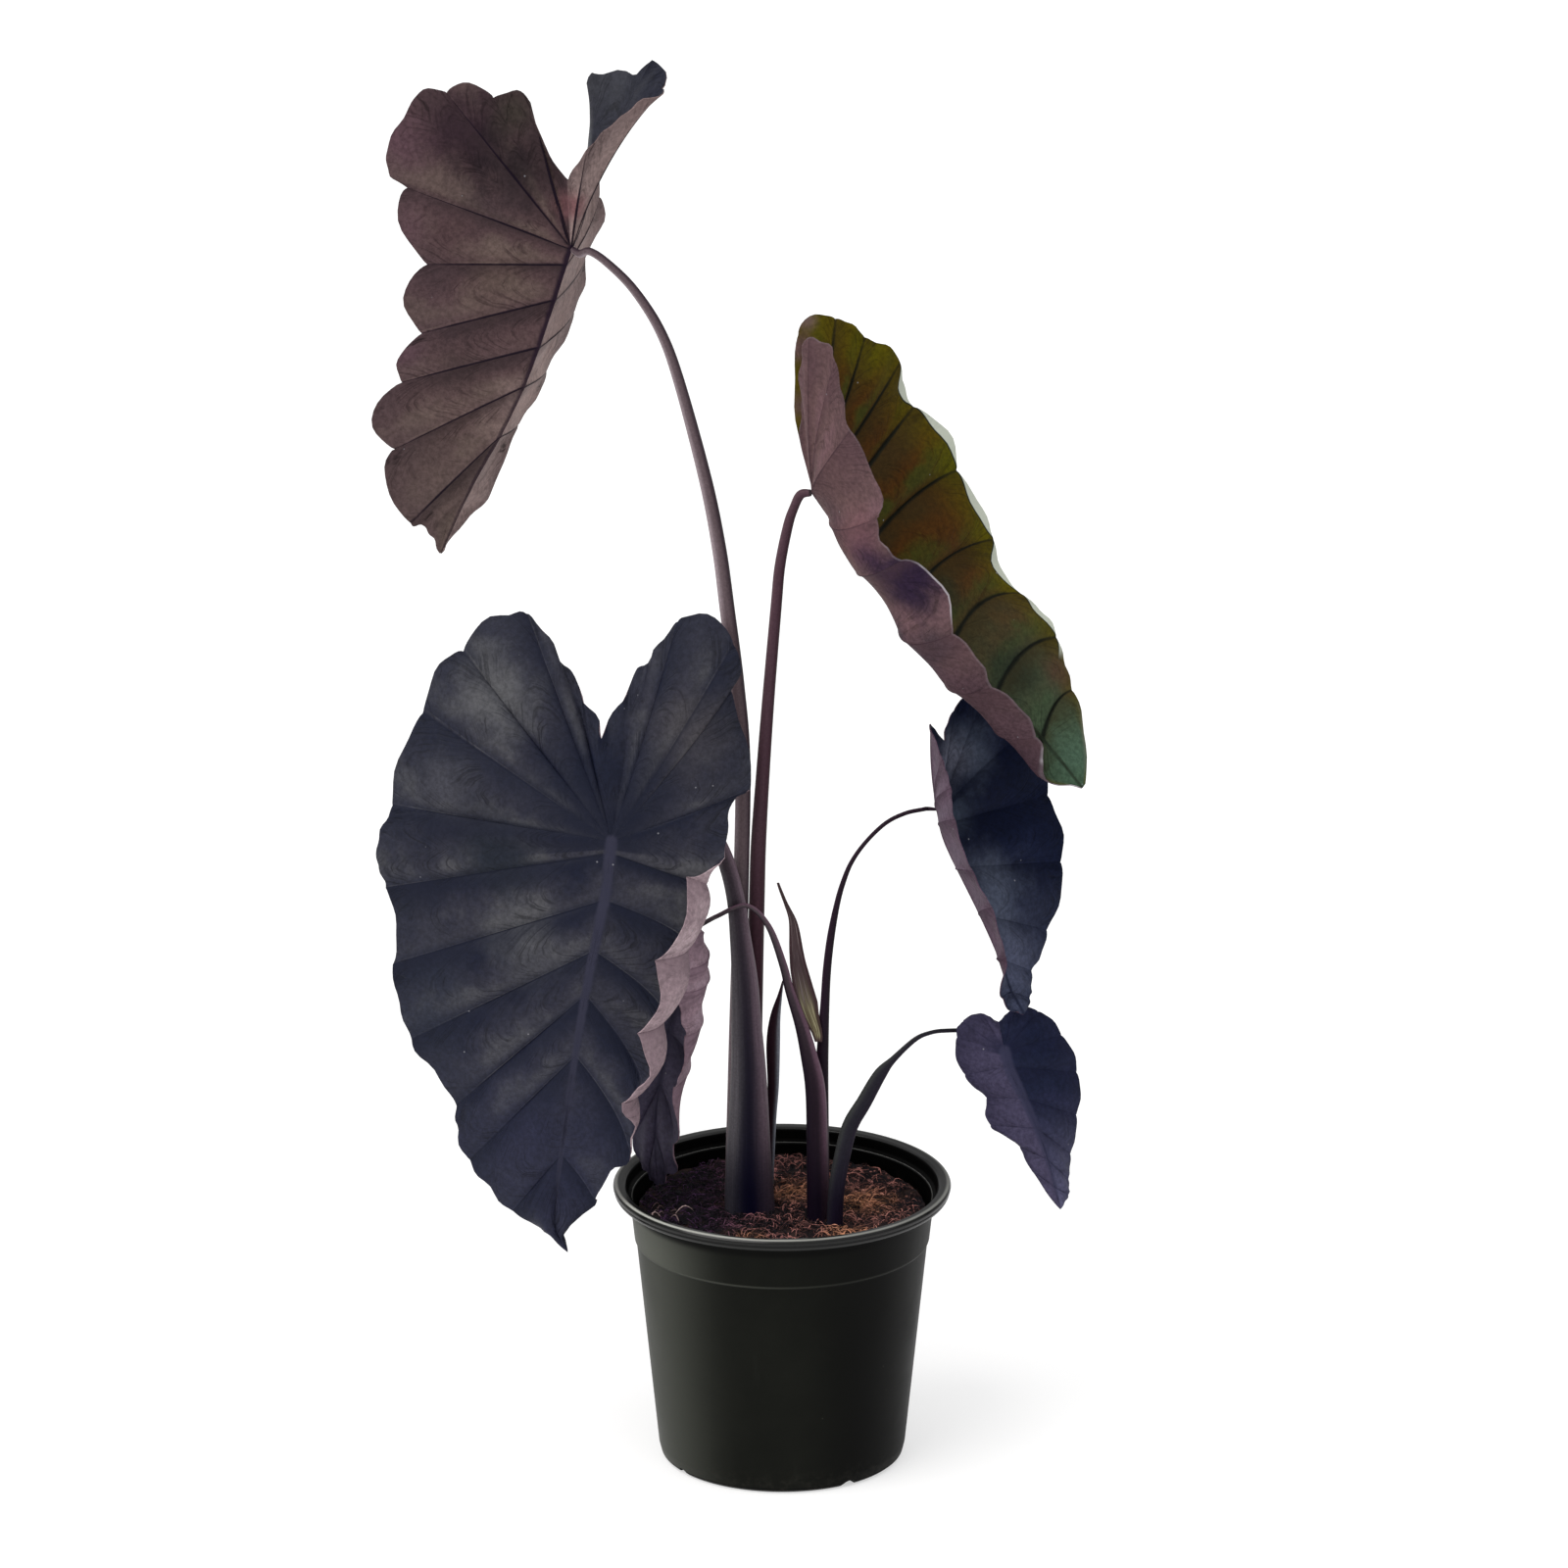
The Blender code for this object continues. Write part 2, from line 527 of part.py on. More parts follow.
def make_blade(key):
    """One leaf blade; returns the place and direction where its stalk meets it."""
    surface = BladeSurface(LEAVES[key])
    finish = BLADE_FINISH.get(key, "blade_dark")
    sheet_solid(f"blade_{key}", surface.upper(), surface.under(), surface.triangles,
                surface.margins, finish)
    return surface.seat()


def tube_solid(name, centres, halves, finish):
    """Closed tube of oval rings along a line of centres; starts with its width along X."""
    across = np.array((1.0, 0.0, 0.0))
    points = []
    for index, centre in enumerate(centres):
        ahead = centres[min(index + 1, len(centres) - 1)]
        behind = centres[max(index - 1, 0)]
        along = (ahead - behind) / np.linalg.norm(ahead - behind)
        across = across - along * float(np.dot(across, along))
        across = across / np.linalg.norm(across)
        through = np.cross(along, across)
        half_width, half_depth = halves[index]
        for side in range(STALK_SIDES):
            angle = 2 * math.pi * (side + 0.5) / STALK_SIDES
            points.append(centre + across * math.cos(angle) * half_width
                          + through * math.sin(angle) * half_depth)
    faces = [tuple(range(STALK_SIDES))[::-1]]
    for ring in range(len(centres) - 1):
        for side in range(STALK_SIDES):
            low = ring * STALK_SIDES + side
            low_next = ring * STALK_SIDES + (side + 1) % STALK_SIDES
            faces.append((low, low_next, low_next + STALK_SIDES, low + STALK_SIDES))
    top = (len(centres) - 1) * STALK_SIDES
    faces.append(tuple(range(top, top + STALK_SIDES)))
    return add_object(name, points, faces, finish)


def stalk_line(spec, seat):
    """Centres and half sizes of a stalk, from its foot in the soil to its end."""
    x, y, half_width, half_depth = spec["foot"]
    foot = np.array((x * MM, y * MM, 0.0))
    knots = [foot + np.array((0.0, 0.0, SOIL_LEVEL - HOLE_DEPTH + GAP)),
             foot + np.array((0.0, 0.0, SOIL_LEVEL + 2 * MM))]
    sizes = [(half_width, half_depth), (half_width, half_depth)]
    for point, half_width, half_depth in spec["path"]:
        knots.append(seen(point))
        sizes.append((half_width, half_depth))
    if seat:
        place, down = seat
        knots.append(place + down * STALK_MEETING)
        knots.append(place + down * STALK_SEAT)
        half_width, half_depth = sizes[-1]
        sizes.append((half_width, half_depth))
        sizes.append((half_width * STALK_END_TAPER, half_depth * STALK_END_TAPER))
    sizes = [np.array(size) * MM for size in sizes]
    centres = [knots[0]]
    halves = [sizes[0]]
    for gap in range(1, len(knots) - 1):
        for ring in range(STALK_RINGS_PER_GAP):
            place = gap + ring / STALK_RINGS_PER_GAP
            centres.append(smooth_point(knots[1:], place - 1))
            halves.append(smooth_point(sizes[1:], place - 1))
    centres.append(knots[-1])
    halves.append(sizes[-1])
    return centres, halves


def make_stalk(key, seat):
    """One leaf stalk, from its hole in the soil to just under its blade."""
    centres, halves = stalk_line(STALKS[key], seat)
    return tube_solid(f"stalk_{key}", centres, halves, "stalk")


def make_dark_sheath():
    """Slender closed sheath that stands behind the main stalk."""
    centres, halves = stalk_line(DARK_SHEATH, None)
    return tube_solid("sheath_dark", centres, halves, "sheath_dark")


def make_dry_sheath():
    """Papery curled sheath: a thin trough that narrows to a point."""
    spec = DRY_SHEATH
    axis = [seen(point) for point in spec["axis"]]
    columns = spec["columns"]
    points = []
    for row in range(spec["rows"] + 1):
        place = row / spec["rows"] * (len(axis) - 1)
        centre = smooth_point(axis, place)
        half_width = float(np.interp(place, range(len(axis)), spec["half_widths"]))
        hollow = spec["hollow"] * half_width * min(1.0, half_width / spec["flat_width"])
        for column in range(columns + 1):
            across = 2 * column / columns - 1
            points.append(centre + np.array((across * half_width, -across ** 2 * hollow, 0.0)) * MM)
    points = np.array(points)
    width = columns + 1
    triangles = []
    for row in range(spec["rows"]):
        for column in range(columns):
            low = row * width + column
            triangles.append((low, low + 1, low + width + 1))
            triangles.append((low, low + width + 1, low + width))
    last = spec["rows"] * width
    bottom = [(column, column + 1) for column in range(columns)]
    right = [(row * width + columns, (row + 1) * width + columns) for row in range(spec["rows"])]
    top = [(last + column + 1, last + column) for column in range(columns)]
    left = [((row + 1) * width, row * width) for row in range(spec["rows"])]
    triangles = np.array(triangles)
    normals = surface_normals(points, triangles)
    half = spec["half_thickness"] * MM
    return sheet_solid("sheath_dry", points + normals * half, points - normals * half, triangles,
                       bottom + right + top + left, "sheath_dry")


def turned_solid(name, profile, finish):
    """Solid turned about Z from a profile of (radius, height) that starts and ends on the axis."""
    points = []
    rings = []
    for radius, height in profile:
        if radius <= 0.0:
            rings.append([len(points)])
            points.append((0.0, 0.0, height))
            continue
        first = len(points)
        rings.append(list(range(first, first + POT_SEGMENTS)))
        for segment in range(POT_SEGMENTS):
            angle = 2 * math.pi * segment / POT_SEGMENTS
            points.append((radius * math.cos(angle), radius * math.sin(angle), height))
    faces = []
    for low, high in zip(rings, rings[1:]):
        for segment in range(POT_SEGMENTS):
            after = (segment + 1) % POT_SEGMENTS
            if len(low) == 1:
                faces.append((low[0], high[after], high[segment]))
            elif len(high) == 1:
                faces.append((low[segment], low[after], high[0]))
            else:
                faces.append((low[segment], low[after], high[after], high[segment]))
    return add_object(name, points, faces, finish, sharp_angle=35.0)


def wall_radius(height):
    """Outer radius of the pot's plain wall at a height."""
    top = BAND_RADIUS - BAND_STEP
    return BASE_RADIUS + (top - BASE_RADIUS) * height / (POT_HEIGHT - LIP_DEPTH)


def pot_profile():
    """Half section of the pot, from the middle of its underside round to its inner floor."""
    lip_bottom = POT_HEIGHT - LIP_DEPTH
    lip_inner = RIM_RADIUS - LIP_WIDTH
    ledge = BAND_RADIUS - POT_WALL
    groove_outer = FOOT_RADIUS - FOOT_WIDTH
    floor = GROOVE_HEIGHT + POT_WALL
    return [
        (0.0, 0.0),
        (GROOVE_INNER, 0.0),
        (GROOVE_INNER + 1 * MM, GROOVE_HEIGHT),
        (groove_outer - 1 * MM, GROOVE_HEIGHT),
        (groove_outer, 0.0),
        (FOOT_RADIUS, 0.0),
        (FOOT_RADIUS + 2.2 * MM, 1.8 * MM),
        (wall_radius(7 * MM), 7 * MM),
        (wall_radius(BAND_BOTTOM - 1 * MM), BAND_BOTTOM - 1 * MM),
        (wall_radius(BAND_BOTTOM) + BAND_STEP, BAND_BOTTOM),
        (BAND_RADIUS, lip_bottom - 1.5 * MM),
        (BAND_RADIUS + 1.2 * MM, lip_bottom),
        (RIM_RADIUS - 3 * MM, lip_bottom + 0.6 * MM),
        (RIM_RADIUS - 0.6 * MM, lip_bottom + 2.4 * MM),
        (RIM_RADIUS, POT_HEIGHT - 2.4 * MM),
        (RIM_RADIUS - 1.2 * MM, POT_HEIGHT - 0.6 * MM),
        (RIM_RADIUS - 3 * MM, POT_HEIGHT),
        (lip_inner + 1.6 * MM, POT_HEIGHT - 0.4 * MM),
        (lip_inner, POT_HEIGHT - 1.8 * MM),
        (lip_inner - 0.8 * MM, lip_bottom + 1.2 * MM),
        (ledge, lip_bottom),
        (wall_radius(BAND_BOTTOM) + BAND_STEP - POT_WALL, BAND_BOTTOM),
        (wall_radius(BAND_BOTTOM) - POT_WALL, BAND_BOTTOM - 2 * MM),
        (wall_radius(8 * MM) - POT_WALL, 8 * MM),
        (FOOT_RADIUS, floor),
        (GROOVE_INNER - 1 * MM, floor),
        (GROOVE_INNER - 2 * MM, POT_WALL),
        (0.0, POT_WALL),
    ]


def cut(target, name, pieces):
    """Subtract the pieces, kept as hidden wire guides in a collection of their own."""
    group = bpy.data.collections.new(name)
    bpy.context.scene.collection.children.link(group)
    for piece in pieces:
        bpy.context.scene.collection.objects.unlink(piece)
        group.objects.link(piece)
        piece.hide_render = True
        piece.display_type = "WIRE"
    difference = target.modifiers.new(name, "BOOLEAN")
    difference.operation = "DIFFERENCE"
    difference.operand_type = "COLLECTION"
    difference.collection = group
    difference.solver = "EXACT"


def drain_cutter(index):
    """Round drain hole through the groove in the pot's floor."""
    angle = 2 * math.pi * (index + 0.5) / DRAIN_COUNT
    middle = (GROOVE_INNER + FOOT_RADIUS - FOOT_WIDTH) / 2
    mesh = bpy.data.meshes.new(f"drain_{index}")
    shape = bmesh.new()
    bmesh.ops.create_cone(shape, cap_ends=True, segments=12, radius1=DRAIN_RADIUS,
                          radius2=DRAIN_RADIUS, depth=6 * MM)
    shape.to_mesh(mesh)
    shape.free()
    item = bpy.data.objects.new(mesh.name, mesh)
    item.location = (middle * math.cos(angle), middle * math.sin(angle), GROOVE_HEIGHT + 0.7 * MM)
    bpy.context.scene.collection.objects.link(item)
    return item


def notch_cutter(index):
    """Block that opens a drain notch through the foot ring."""
    angle = NOTCH_TURN + 2 * math.pi * index / NOTCH_COUNT
    mesh = bpy.data.meshes.new(f"notch_{index}")
    shape = bmesh.new()
    bmesh.ops.create_cube(shape, size=1.0)
    length = FOOT_WIDTH + 8 * MM
    bmesh.ops.scale(shape, vec=(length, NOTCH_WIDTH, 2 * NOTCH_HEIGHT), verts=shape.verts)
    shape.to_mesh(mesh)
    shape.free()
    item = bpy.data.objects.new(mesh.name, mesh)
    place = FOOT_RADIUS - FOOT_WIDTH / 2 + 2 * MM
    item.location = (place * math.sin(angle), -place * math.cos(angle), 0.0)
    item.rotation_euler = (0.0, 0.0, angle - math.pi / 2)
    bpy.context.scene.collection.objects.link(item)
    return item


def make_pot():
    """Turned nursery pot with a rolled lip, a drain groove and notches in its foot."""
    pot = turned_solid("pot", pot_profile(), "pot")
    drains = [drain_cutter(index) for index in range(DRAIN_COUNT)]
    notches = [notch_cutter(index) for index in range(NOTCH_COUNT)]
    cut(pot, "pot_drains", drains + notches)
    return pot


def hole_cutter(name, foot):
    """Oval block that opens the plain hole in which a stalk stands."""
    x, y, half_width, half_depth = foot
    centres = [np.array((x * MM, y * MM, SOIL_LEVEL - HOLE_DEPTH)),
               np.array((x * MM, y * MM, SOIL_LEVEL + 12 * MM))]
    size = (half_width * MM + HOLE_CLEARANCE, half_depth * MM + HOLE_CLEARANCE)
    return tube_solid(name, centres, [size, size], None)


def make_soil():
    """Soil that fills the pot, rough on top, with a plain hole for each stalk."""
    side = wall_radius(8 * MM) - POT_WALL - GAP
    top = wall_radius(BAND_BOTTOM) + BAND_STEP - POT_WALL
    neck = wall_radius(BAND_BOTTOM) - POT_WALL - 2 * GAP
    floor = GROOVE_HEIGHT + POT_WALL + GAP
    profile = [(0.0, POT_WALL + GAP), (GROOVE_INNER - 3 * MM, POT_WALL + GAP),
               (GROOVE_INNER - 2 * MM, floor), (FOOT_RADIUS - 1 * MM, floor), (side, 9 * MM),
               (neck, BAND_BOTTOM - 3 * MM), (neck, BAND_BOTTOM + 1 * MM),
               (top - 0.6 * MM, SOIL_LEVEL - 2 * MM)]
    for ring in range(SOIL_RINGS):
        profile.append(((top - 1.5 * MM) * (1 - ring / SOIL_RINGS), SOIL_LEVEL))
    profile.append((0.0, SOIL_LEVEL))
    soil = turned_solid("soil", profile, "soil")
    for vertex in soil.data.vertices:
        if vertex.co.z > SOIL_LEVEL - 1 * MM:
            vertex.co.z += noise.noise(Vector(vertex.co) * SOIL_GRAIN) * SOIL_ROUGHNESS * 2
    feet = {f"hole_{key}": spec["foot"] for key, spec in STALKS.items()}
    feet["hole_sheath"] = DARK_SHEATH["foot"]
    cut(soil, "soil_holes", [hole_cutter(name, foot) for name, foot in feet.items()])
    return soil


def main():
    """Model the whole plant in its pot."""
    clear_scene()
    make_pot()
    make_soil()
    for key in LEAVES:
        make_stalk(key, make_blade(key))
    make_dark_sheath()
    make_dry_sheath()


main()
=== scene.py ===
"""Potted elephant ear: fine leaves, stalks, soil and pot over the fixed frame."""

import math
import random

import bmesh
import bpy
import numpy as np
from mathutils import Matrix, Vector, noise


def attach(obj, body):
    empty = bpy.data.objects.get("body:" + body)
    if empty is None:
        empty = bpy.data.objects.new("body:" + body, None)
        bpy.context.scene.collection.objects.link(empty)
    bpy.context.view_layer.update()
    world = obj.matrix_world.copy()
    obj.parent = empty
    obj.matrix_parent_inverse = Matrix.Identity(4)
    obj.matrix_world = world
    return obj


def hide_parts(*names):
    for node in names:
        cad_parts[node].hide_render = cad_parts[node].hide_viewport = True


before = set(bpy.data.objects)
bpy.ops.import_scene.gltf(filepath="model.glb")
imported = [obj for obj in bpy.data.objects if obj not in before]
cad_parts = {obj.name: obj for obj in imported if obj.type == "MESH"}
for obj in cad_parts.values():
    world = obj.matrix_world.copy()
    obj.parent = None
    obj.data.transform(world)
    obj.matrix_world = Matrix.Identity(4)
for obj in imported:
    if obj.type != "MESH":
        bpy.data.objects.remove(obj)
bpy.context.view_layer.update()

MM = 0.001

# Points on the plant are (right, up, back) in millimetres, as seen from the front and from this
# angle above level: right and up in the picture plane, back along the ground.
VIEW_RISE = math.radians(19.3)

# Pot and soil
POT_HEIGHT = 148.0 * MM
RIM_RADIUS = 87.0 * MM
LIP_WIDTH = 7.0 * MM
LIP_DEPTH = 7.5 * MM
LIP_BOTTOM = POT_HEIGHT - LIP_DEPTH
BAND_RADIUS = 78.2 * MM
BAND_BOTTOM = 118.0 * MM
BAND_STEP = 0.8 * MM
BASE_RADIUS = 62.8 * MM
FOOT_RADIUS = 60.0 * MM
FOOT_WIDTH = 5.0 * MM
POT_WALL = 1.5 * MM
GROOVE_INNER = 41.0 * MM
GROOVE_HEIGHT = 3.0 * MM
DRAIN_COUNT = 8
DRAIN_RADIUS = 4.0 * MM
NOTCH_COUNT = 4
NOTCH_WIDTH = 9.0 * MM
NOTCH_HEIGHT = 3.2 * MM
NOTCH_TURN = math.radians(34.0)
SOIL_LEVEL = 134.0 * MM
HOLE_DEPTH = 18.0 * MM
POT_SEGMENTS = 192
CORNER_RADIUS = 0.7 * MM
CORNER_STEPS = 4

# Loose soil: how fine and how high each of its swells is, the rings and sides of its top layer,
# and how many crumbs and how many joints to a fibre lie on it
SOIL_SWELLS = ((45.0, 2.2 * MM), (160.0, 1.3 * MM))
SOIL_RINGS = 46
SOIL_SIDES = 150
CRUMB_COUNT = 2600
CRUMB_SEED = 41
FIBRE_JOINTS = 7

# Warm patches of the potting mix: place (x, y) and size in millimetres, and how strong
WARM_SPOTS = ((37, -44, 20, 1.0), (40, 4, 24, 0.7), (5, 16, 20, 0.6), (-16, -50, 14, 0.5))

# Fineness of the grain of the pot's plastic
PLASTIC_GRAIN = 1400.0

# Leaf blades and stalks
BLADE_HALF = 0.42 * MM
MARGIN_HALF = 0.3 * MM
VEIN_RIB = 0.75 * MM
MIDRIB_RIB = 1.1 * MM
VEIN_GROOVE = 0.35 * MM
QUILT = 0.09
RIPPLE = 0.06
STALK_SIDES = 32
STALK_RINGS_PER_GAP = 10
STALK_MEETING = 6.0 * MM
STALK_SEAT = 0.35 * MM
STALK_END_TAPER = 0.75
SHEATH_COLUMNS = 24
SHEATH_ROWS = 90

# Places of the fine rays between two veins, and of the points along a ray
FINE_PLACES = (0.0, 0.035, 0.09, 0.17, 0.27, 0.38, 0.5, 0.62, 0.73, 0.83, 0.91, 0.965)
FINE_STEPS = 30
FEATHER_SLANT = 2.2
FRILL = 0.0045

# Half widths in millimetres at the joint, and how much they lose towards the tip or the margin
MIDRIB_HALF = 1.9
MIDRIB_TAPER = 0.72
VEIN_HALF = 1.0
VEIN_TAPER = 0.6

# Thin tail at the tip of a blade: its length, and how far up the blade is at its full width again
TAILS = {"c": (9.0 * MM, 17.0 * MM)}
TAIL_WIDTH = 0.16
TAIL_AXIS_FROM = 0.93

# Floor, camera, and the width and the middle of what the camera sees, in metres
FLOOR_REACH = 14.0
CAMERA_DISTANCE = 9.0
SENSOR_WIDTH = 36.0
PICTURE_WIDTH = 0.8
PICTURE_MIDDLE = (0.001, 0.344)

# Each leaf lists its midrib from the stalk joint to the tip, the bottom of the cleft between
# its lobes, where along the midrib each vein starts, and where the veins end on the margin,
# from the cleft round each lobe to the tip. Left and right are as on a blade that hangs tip
# down with its upper face to the front. A peak is where the margin bulges furthest (right, up)
# after a vein. A bow pulls the middle of a vein aside, by vein, and a quilt is how high the
# blade rises between its veins, as a share of their spacing, where that isn't the usual one.
LEAVES = {
    "a": {
        "midrib": [(-107, 615, 15), (-119, 579, 20), (-130, 549, 24), (-142, 524, 28),
            (-159, 494, 32), (-174, 462, 34)],
        "cleft": (-108, 649, 14),
        "starts": [0, 0, 0, 0, 0, 0, 0, 0.05, 0.16, 0.31, 0.44, 0.61, 0.8, 1],
        "left": [(-99, 663, 8), (-84, 678, 14), (-62, 694, 30), (-67, 710, 52), (-96.5, 705, 66),
            (-97, 672, 76), (-93, 643, 82), (-100.5, 613, 86), (-106.5, 585, 84), (-121, 555, 80),
            (-135.5, 528, 72), (-151, 490, 58)],
        "right": [(-127, 685.5, 22), (-145.5, 689.5, 23), (-169, 692, 22), (-187.5, 686.5, 20),
            (-200, 661.5, 18), (-189.5, 645.5, 20), (-180, 607, 22), (-183, 572.5, 26),
            (-193, 548, 28), (-196.5, 514.5, 30), (-189, 477.5, 33), (-180.5, 473.5, 34)],
        "left_peaks": {1: (-92, 672), 2: (-73, 688), 3: (-59, 701), 4: (-80, 704), 5: (-98, 690),
            6: (-96, 657), 7: (-93.5, 631.5), 8: (-103, 599), 9: (-113.5, 571), 10: (-127.5, 541.5),
            11: (-142.5, 514), 12: (-163.5, 479)},
        "right_peaks": {0: (-119.5, 668.5), 1: (-134, 694.5), 2: (-158, 698), 3: (-178.5, 695),
            4: (-195, 674.5), 5: (-197, 652), 6: (-193, 630), 7: (-191, 591.5), 8: (-194.5, 560),
            9: (-208.5, 530), 10: (-201.5, 497), 11: (-184.5, 476), 12: (-177, 467.5)},
        "left_bow": {0: (0, 0, 0), 1: (0, 0, 3), 2: (-3, 0, 3), 3: (-9, 4.5, 4), 4: (-3, 4, 8),
            5: (12, 0, 12), 6: (8, 0, 12), 7: (4, 0, 6), 8: (5, 0, 3), 13: (3, 0, -2)},
        "right_bow": {0: (0, 0, 0), 4: (0, 0, -6), 13: (0, 0, -2)},
        "plain": [2, 4, 5, 12],
        "scallop": 0.24,
    },
    "b": {
        "midrib": [(16, 492, -5), (36, 464, -8), (66, 431, -10), (96, 401, -12), (126, 374, -14),
            (153, 342, -16)],
        "cleft": (10, 514, -3),
        "starts": [0, 0, 0, 0, 0, 0.08, 0.2, 0.36, 0.52, 0.68, 0.84, 1],
        "left": [(11.5, 541, -10), (14, 568, -28), (27, 556, -40), (34.5, 522, -48), (48, 478, -56),
            (61, 457, -58), (87, 420, -51), (107, 393, -44), (129, 368, -34), (134, 347, -24)],
        "right": [(8.5, 571, 22), (27, 579, 30), (42, 570, 34), (60, 558, 40), (67, 536, 42),
            (89, 504, 42), (108, 469, 40), (122, 441, 36), (140, 419, 30), (148, 392, 18)],
        "left_peaks": {1: (11, 556), 2: (23.5, 566), 3: (31.5, 540), 4: (50.5, 493),
            5: (51.5, 465.5), 6: (81, 446), 7: (100.5, 407), 8: (123, 382), 9: (133, 358),
            10: (142, 344.5)},
        "right_peaks": {0: (9, 543), 2: (36, 577.5), 3: (53, 567), 4: (62.5, 547), 5: (85, 523.5),
            6: (103, 484.5), 7: (112.5, 455), 8: (135, 431.5), 9: (146, 405), 10: (155.5, 371.5)},
        "left_bow": {0: (0, 0, 0), 2: (-3, -4, -4), 5: (-14, -12, -6), 7: (-24, -23, -8),
            9: (-20, -18, -5), 10: (-10, -9, -2), 11: (0, 0, 0)},
        "right_bow": {0: (0, 0, 0), 1: (1, 0, 4), 4: (0, -4, 8), 5: (0, 2, 8), 6: (-2, 12, 8),
            7: (-5, 12, 8), 8: (-7, 18, 6), 9: (-5, 13, 4), 10: (-3, 9, 3), 11: (0, 0, 2)},
        "left_quilt": 0.0,
        "plain": [1],
        "scallop": 0.16,
    },
    "c": {
        "midrib": [(-87, 315, -25), (-90, 288, -29), (-97, 254, -33), (-103, 221, -35),
            (-110, 176, -36), (-117, 118, -36), (-110, 104, -35)],
        "cleft": (-92, 367, -14),
        "starts": [0, 0, 0, 0, 0, 0, 0.015, 0.03, 0.14, 0.26, 0.37, 0.52, 0.75, 1],
        "left": [(-107, 399, 2), (-129, 428, 8), (-162, 411, 10), (-183, 380, 8), (-199, 333, 4),
            (-207.5, 311, 2), (-203, 291, 0), (-199.5, 251.5, -4), (-190, 213, -10),
            (-167, 179, -16), (-160, 151, -22), (-138, 125, -30)],
        "right": [(-74, 400, -2), (-54, 424, -2), (-25, 414, -7), (-26, 391, -9), (-16, 341, -14),
            (-27, 325, -20), (-49, 297, -40), (-65, 254, -50), (-74, 217, -54), (-82, 182, -52),
            (-79, 155, -44), (-97, 131, -38)],
        "left_peaks": {1: (-116.5, 416), 2: (-149, 429.5), 3: (-175, 405), 4: (-196.5, 356),
            5: (-204, 323), 6: (-206, 300), 7: (-198, 271.5), 8: (-197, 231), 9: (-179.5, 196),
            10: (-167.5, 165.5), 11: (-151, 136), 12: (-126.5, 116)},
        "right_peaks": {1: (-65, 413), 2: (-38, 430.5), 3: (-20.5, 400), 4: (-18, 365.5),
            5: (-23, 337.5), 6: (-34, 304), 7: (-51.5, 273), 8: (-63.5, 233), 9: (-70, 196),
            10: (-77.5, 169), 11: (-88, 143.5), 12: (-100, 121)},
        "left_bow": {0: (0, 0, 0), 5: (0, 0, -8), 13: (0, 0, -2)},
        "right_bow": {0: (0, 0, 0), 5: (4, 0, -4), 6: (6, -2, -3), 6.67: (36, -14, 4),
            7: (52, -20, 9), 7.33: (62, -6, 17), 7.67: (61, -6, 17), 8: (53, -13, 9),
            8.33: (62, -5, 16), 8.67: (58, -12, 15), 9: (41, -20, 6), 9.33: (50, -9, 14),
            9.67: (44, -17, 13), 10: (32, -28, 5), 10.33: (34, -20, 6), 11: (12, -8, 2),
            13: (0, 0, 0)},
        "right_quilt": 0.05,
        "plain": [1, 6],
        "scallop": 0.14,
    },
    "d": {
        "midrib": [(-46, 268, 8), (-54, 234, 10), (-61, 199, 12), (-65, 169, 12), (-64, 137, 12)],
        "cleft": (-45, 281, 10),
        "starts": [0, 0, 0, 0, 0.05, 0.2, 0.4, 0.6, 0.8, 1],
        "left": [(-58, 296, 16), (-74, 286, 20), (-85, 264, 22), (-91, 239, 22), (-90, 214, 22),
            (-86, 189, 20), (-77, 161, 18), (-69, 143, 14)],
        "right": [(-50, 289, 2), (-48, 268, -4), (-52, 249, -8), (-54, 237, -10), (-50, 215, -12),
            (-56, 188, -9), (-55.5, 158, 0), (-59.5, 142, 8)],
        "left_bow": {0: (0, 0, 0), 4: (0, 0, -4), 9: (0, 0, 0)},
        "right_bow": {0: (0, 0, 0), 1: (6, 0, 2), 2: (13, 0, 4), 3: (23, -8, 6), 4: (27, -12, 7),
            5: (20, -10, 6), 6: (20, -2, 4), 7: (3, 0, 1), 9: (0, 0, 0)},
        "plain": [],
        "scallop": 0.14,
    },
    "e": {
        "midrib": [(80, 331, 12), (84, 314, 8), (99, 283, 2), (109, 261, -2), (116, 241, -4),
            (124, 226, -5)],
        "cleft": (83, 366, 16),
        "starts": [0, 0, 0, 0, 0.08, 0.28, 0.5, 0.72, 0.88, 1],
        "left": [(76, 374, 4), (82, 356, -14), (86, 342, -22), (88, 326, -26), (97, 300, -28),
            (107, 281, -24), (114.5, 255, -16), (113.5, 234, -9)],
        "right": [(88, 381, 26), (104, 391, 36), (126, 374, 44), (136, 338, 46), (143, 304, 42),
            (136, 269, 30), (128, 248, 14), (127, 234, 3)],
        "left_bow": {0: (0, 0, 0), 3: (-8, 0, 2), 9: (-3, 0, 0)},
        "right_bow": {0: (0, 0, 0), 5: (0, 0, 8), 9: (0, 0, 0)},
        "plain": [],
        "scallop": 0.12,
    },
    "f": {
        "midrib": [(114, 207, -8), (117, 197, -10), (126, 178, -14), (135, 156, -16),
            (143, 126, -18)],
        "cleft": (111, 222, 0),
        "starts": [0, 0, 0, 0, 0.1, 0.3, 0.5, 0.7, 0.87, 1],
        "left": [(103, 226, 0), (93, 222, -3), (90, 214, -4), (94, 195, -4), (105, 183, -5),
            (107, 169, -6), (122, 158, -11), (128, 146, -14)],
        "right": [(118, 228, 4), (131, 227, 6), (143, 215, 6), (151, 196, 6), (151, 174, 2),
            (148, 154, -4), (147, 141, -10), (147, 133, -14)],
        "left_bow": {0: (0, 0, -2), 9: (0, 0, -2)},
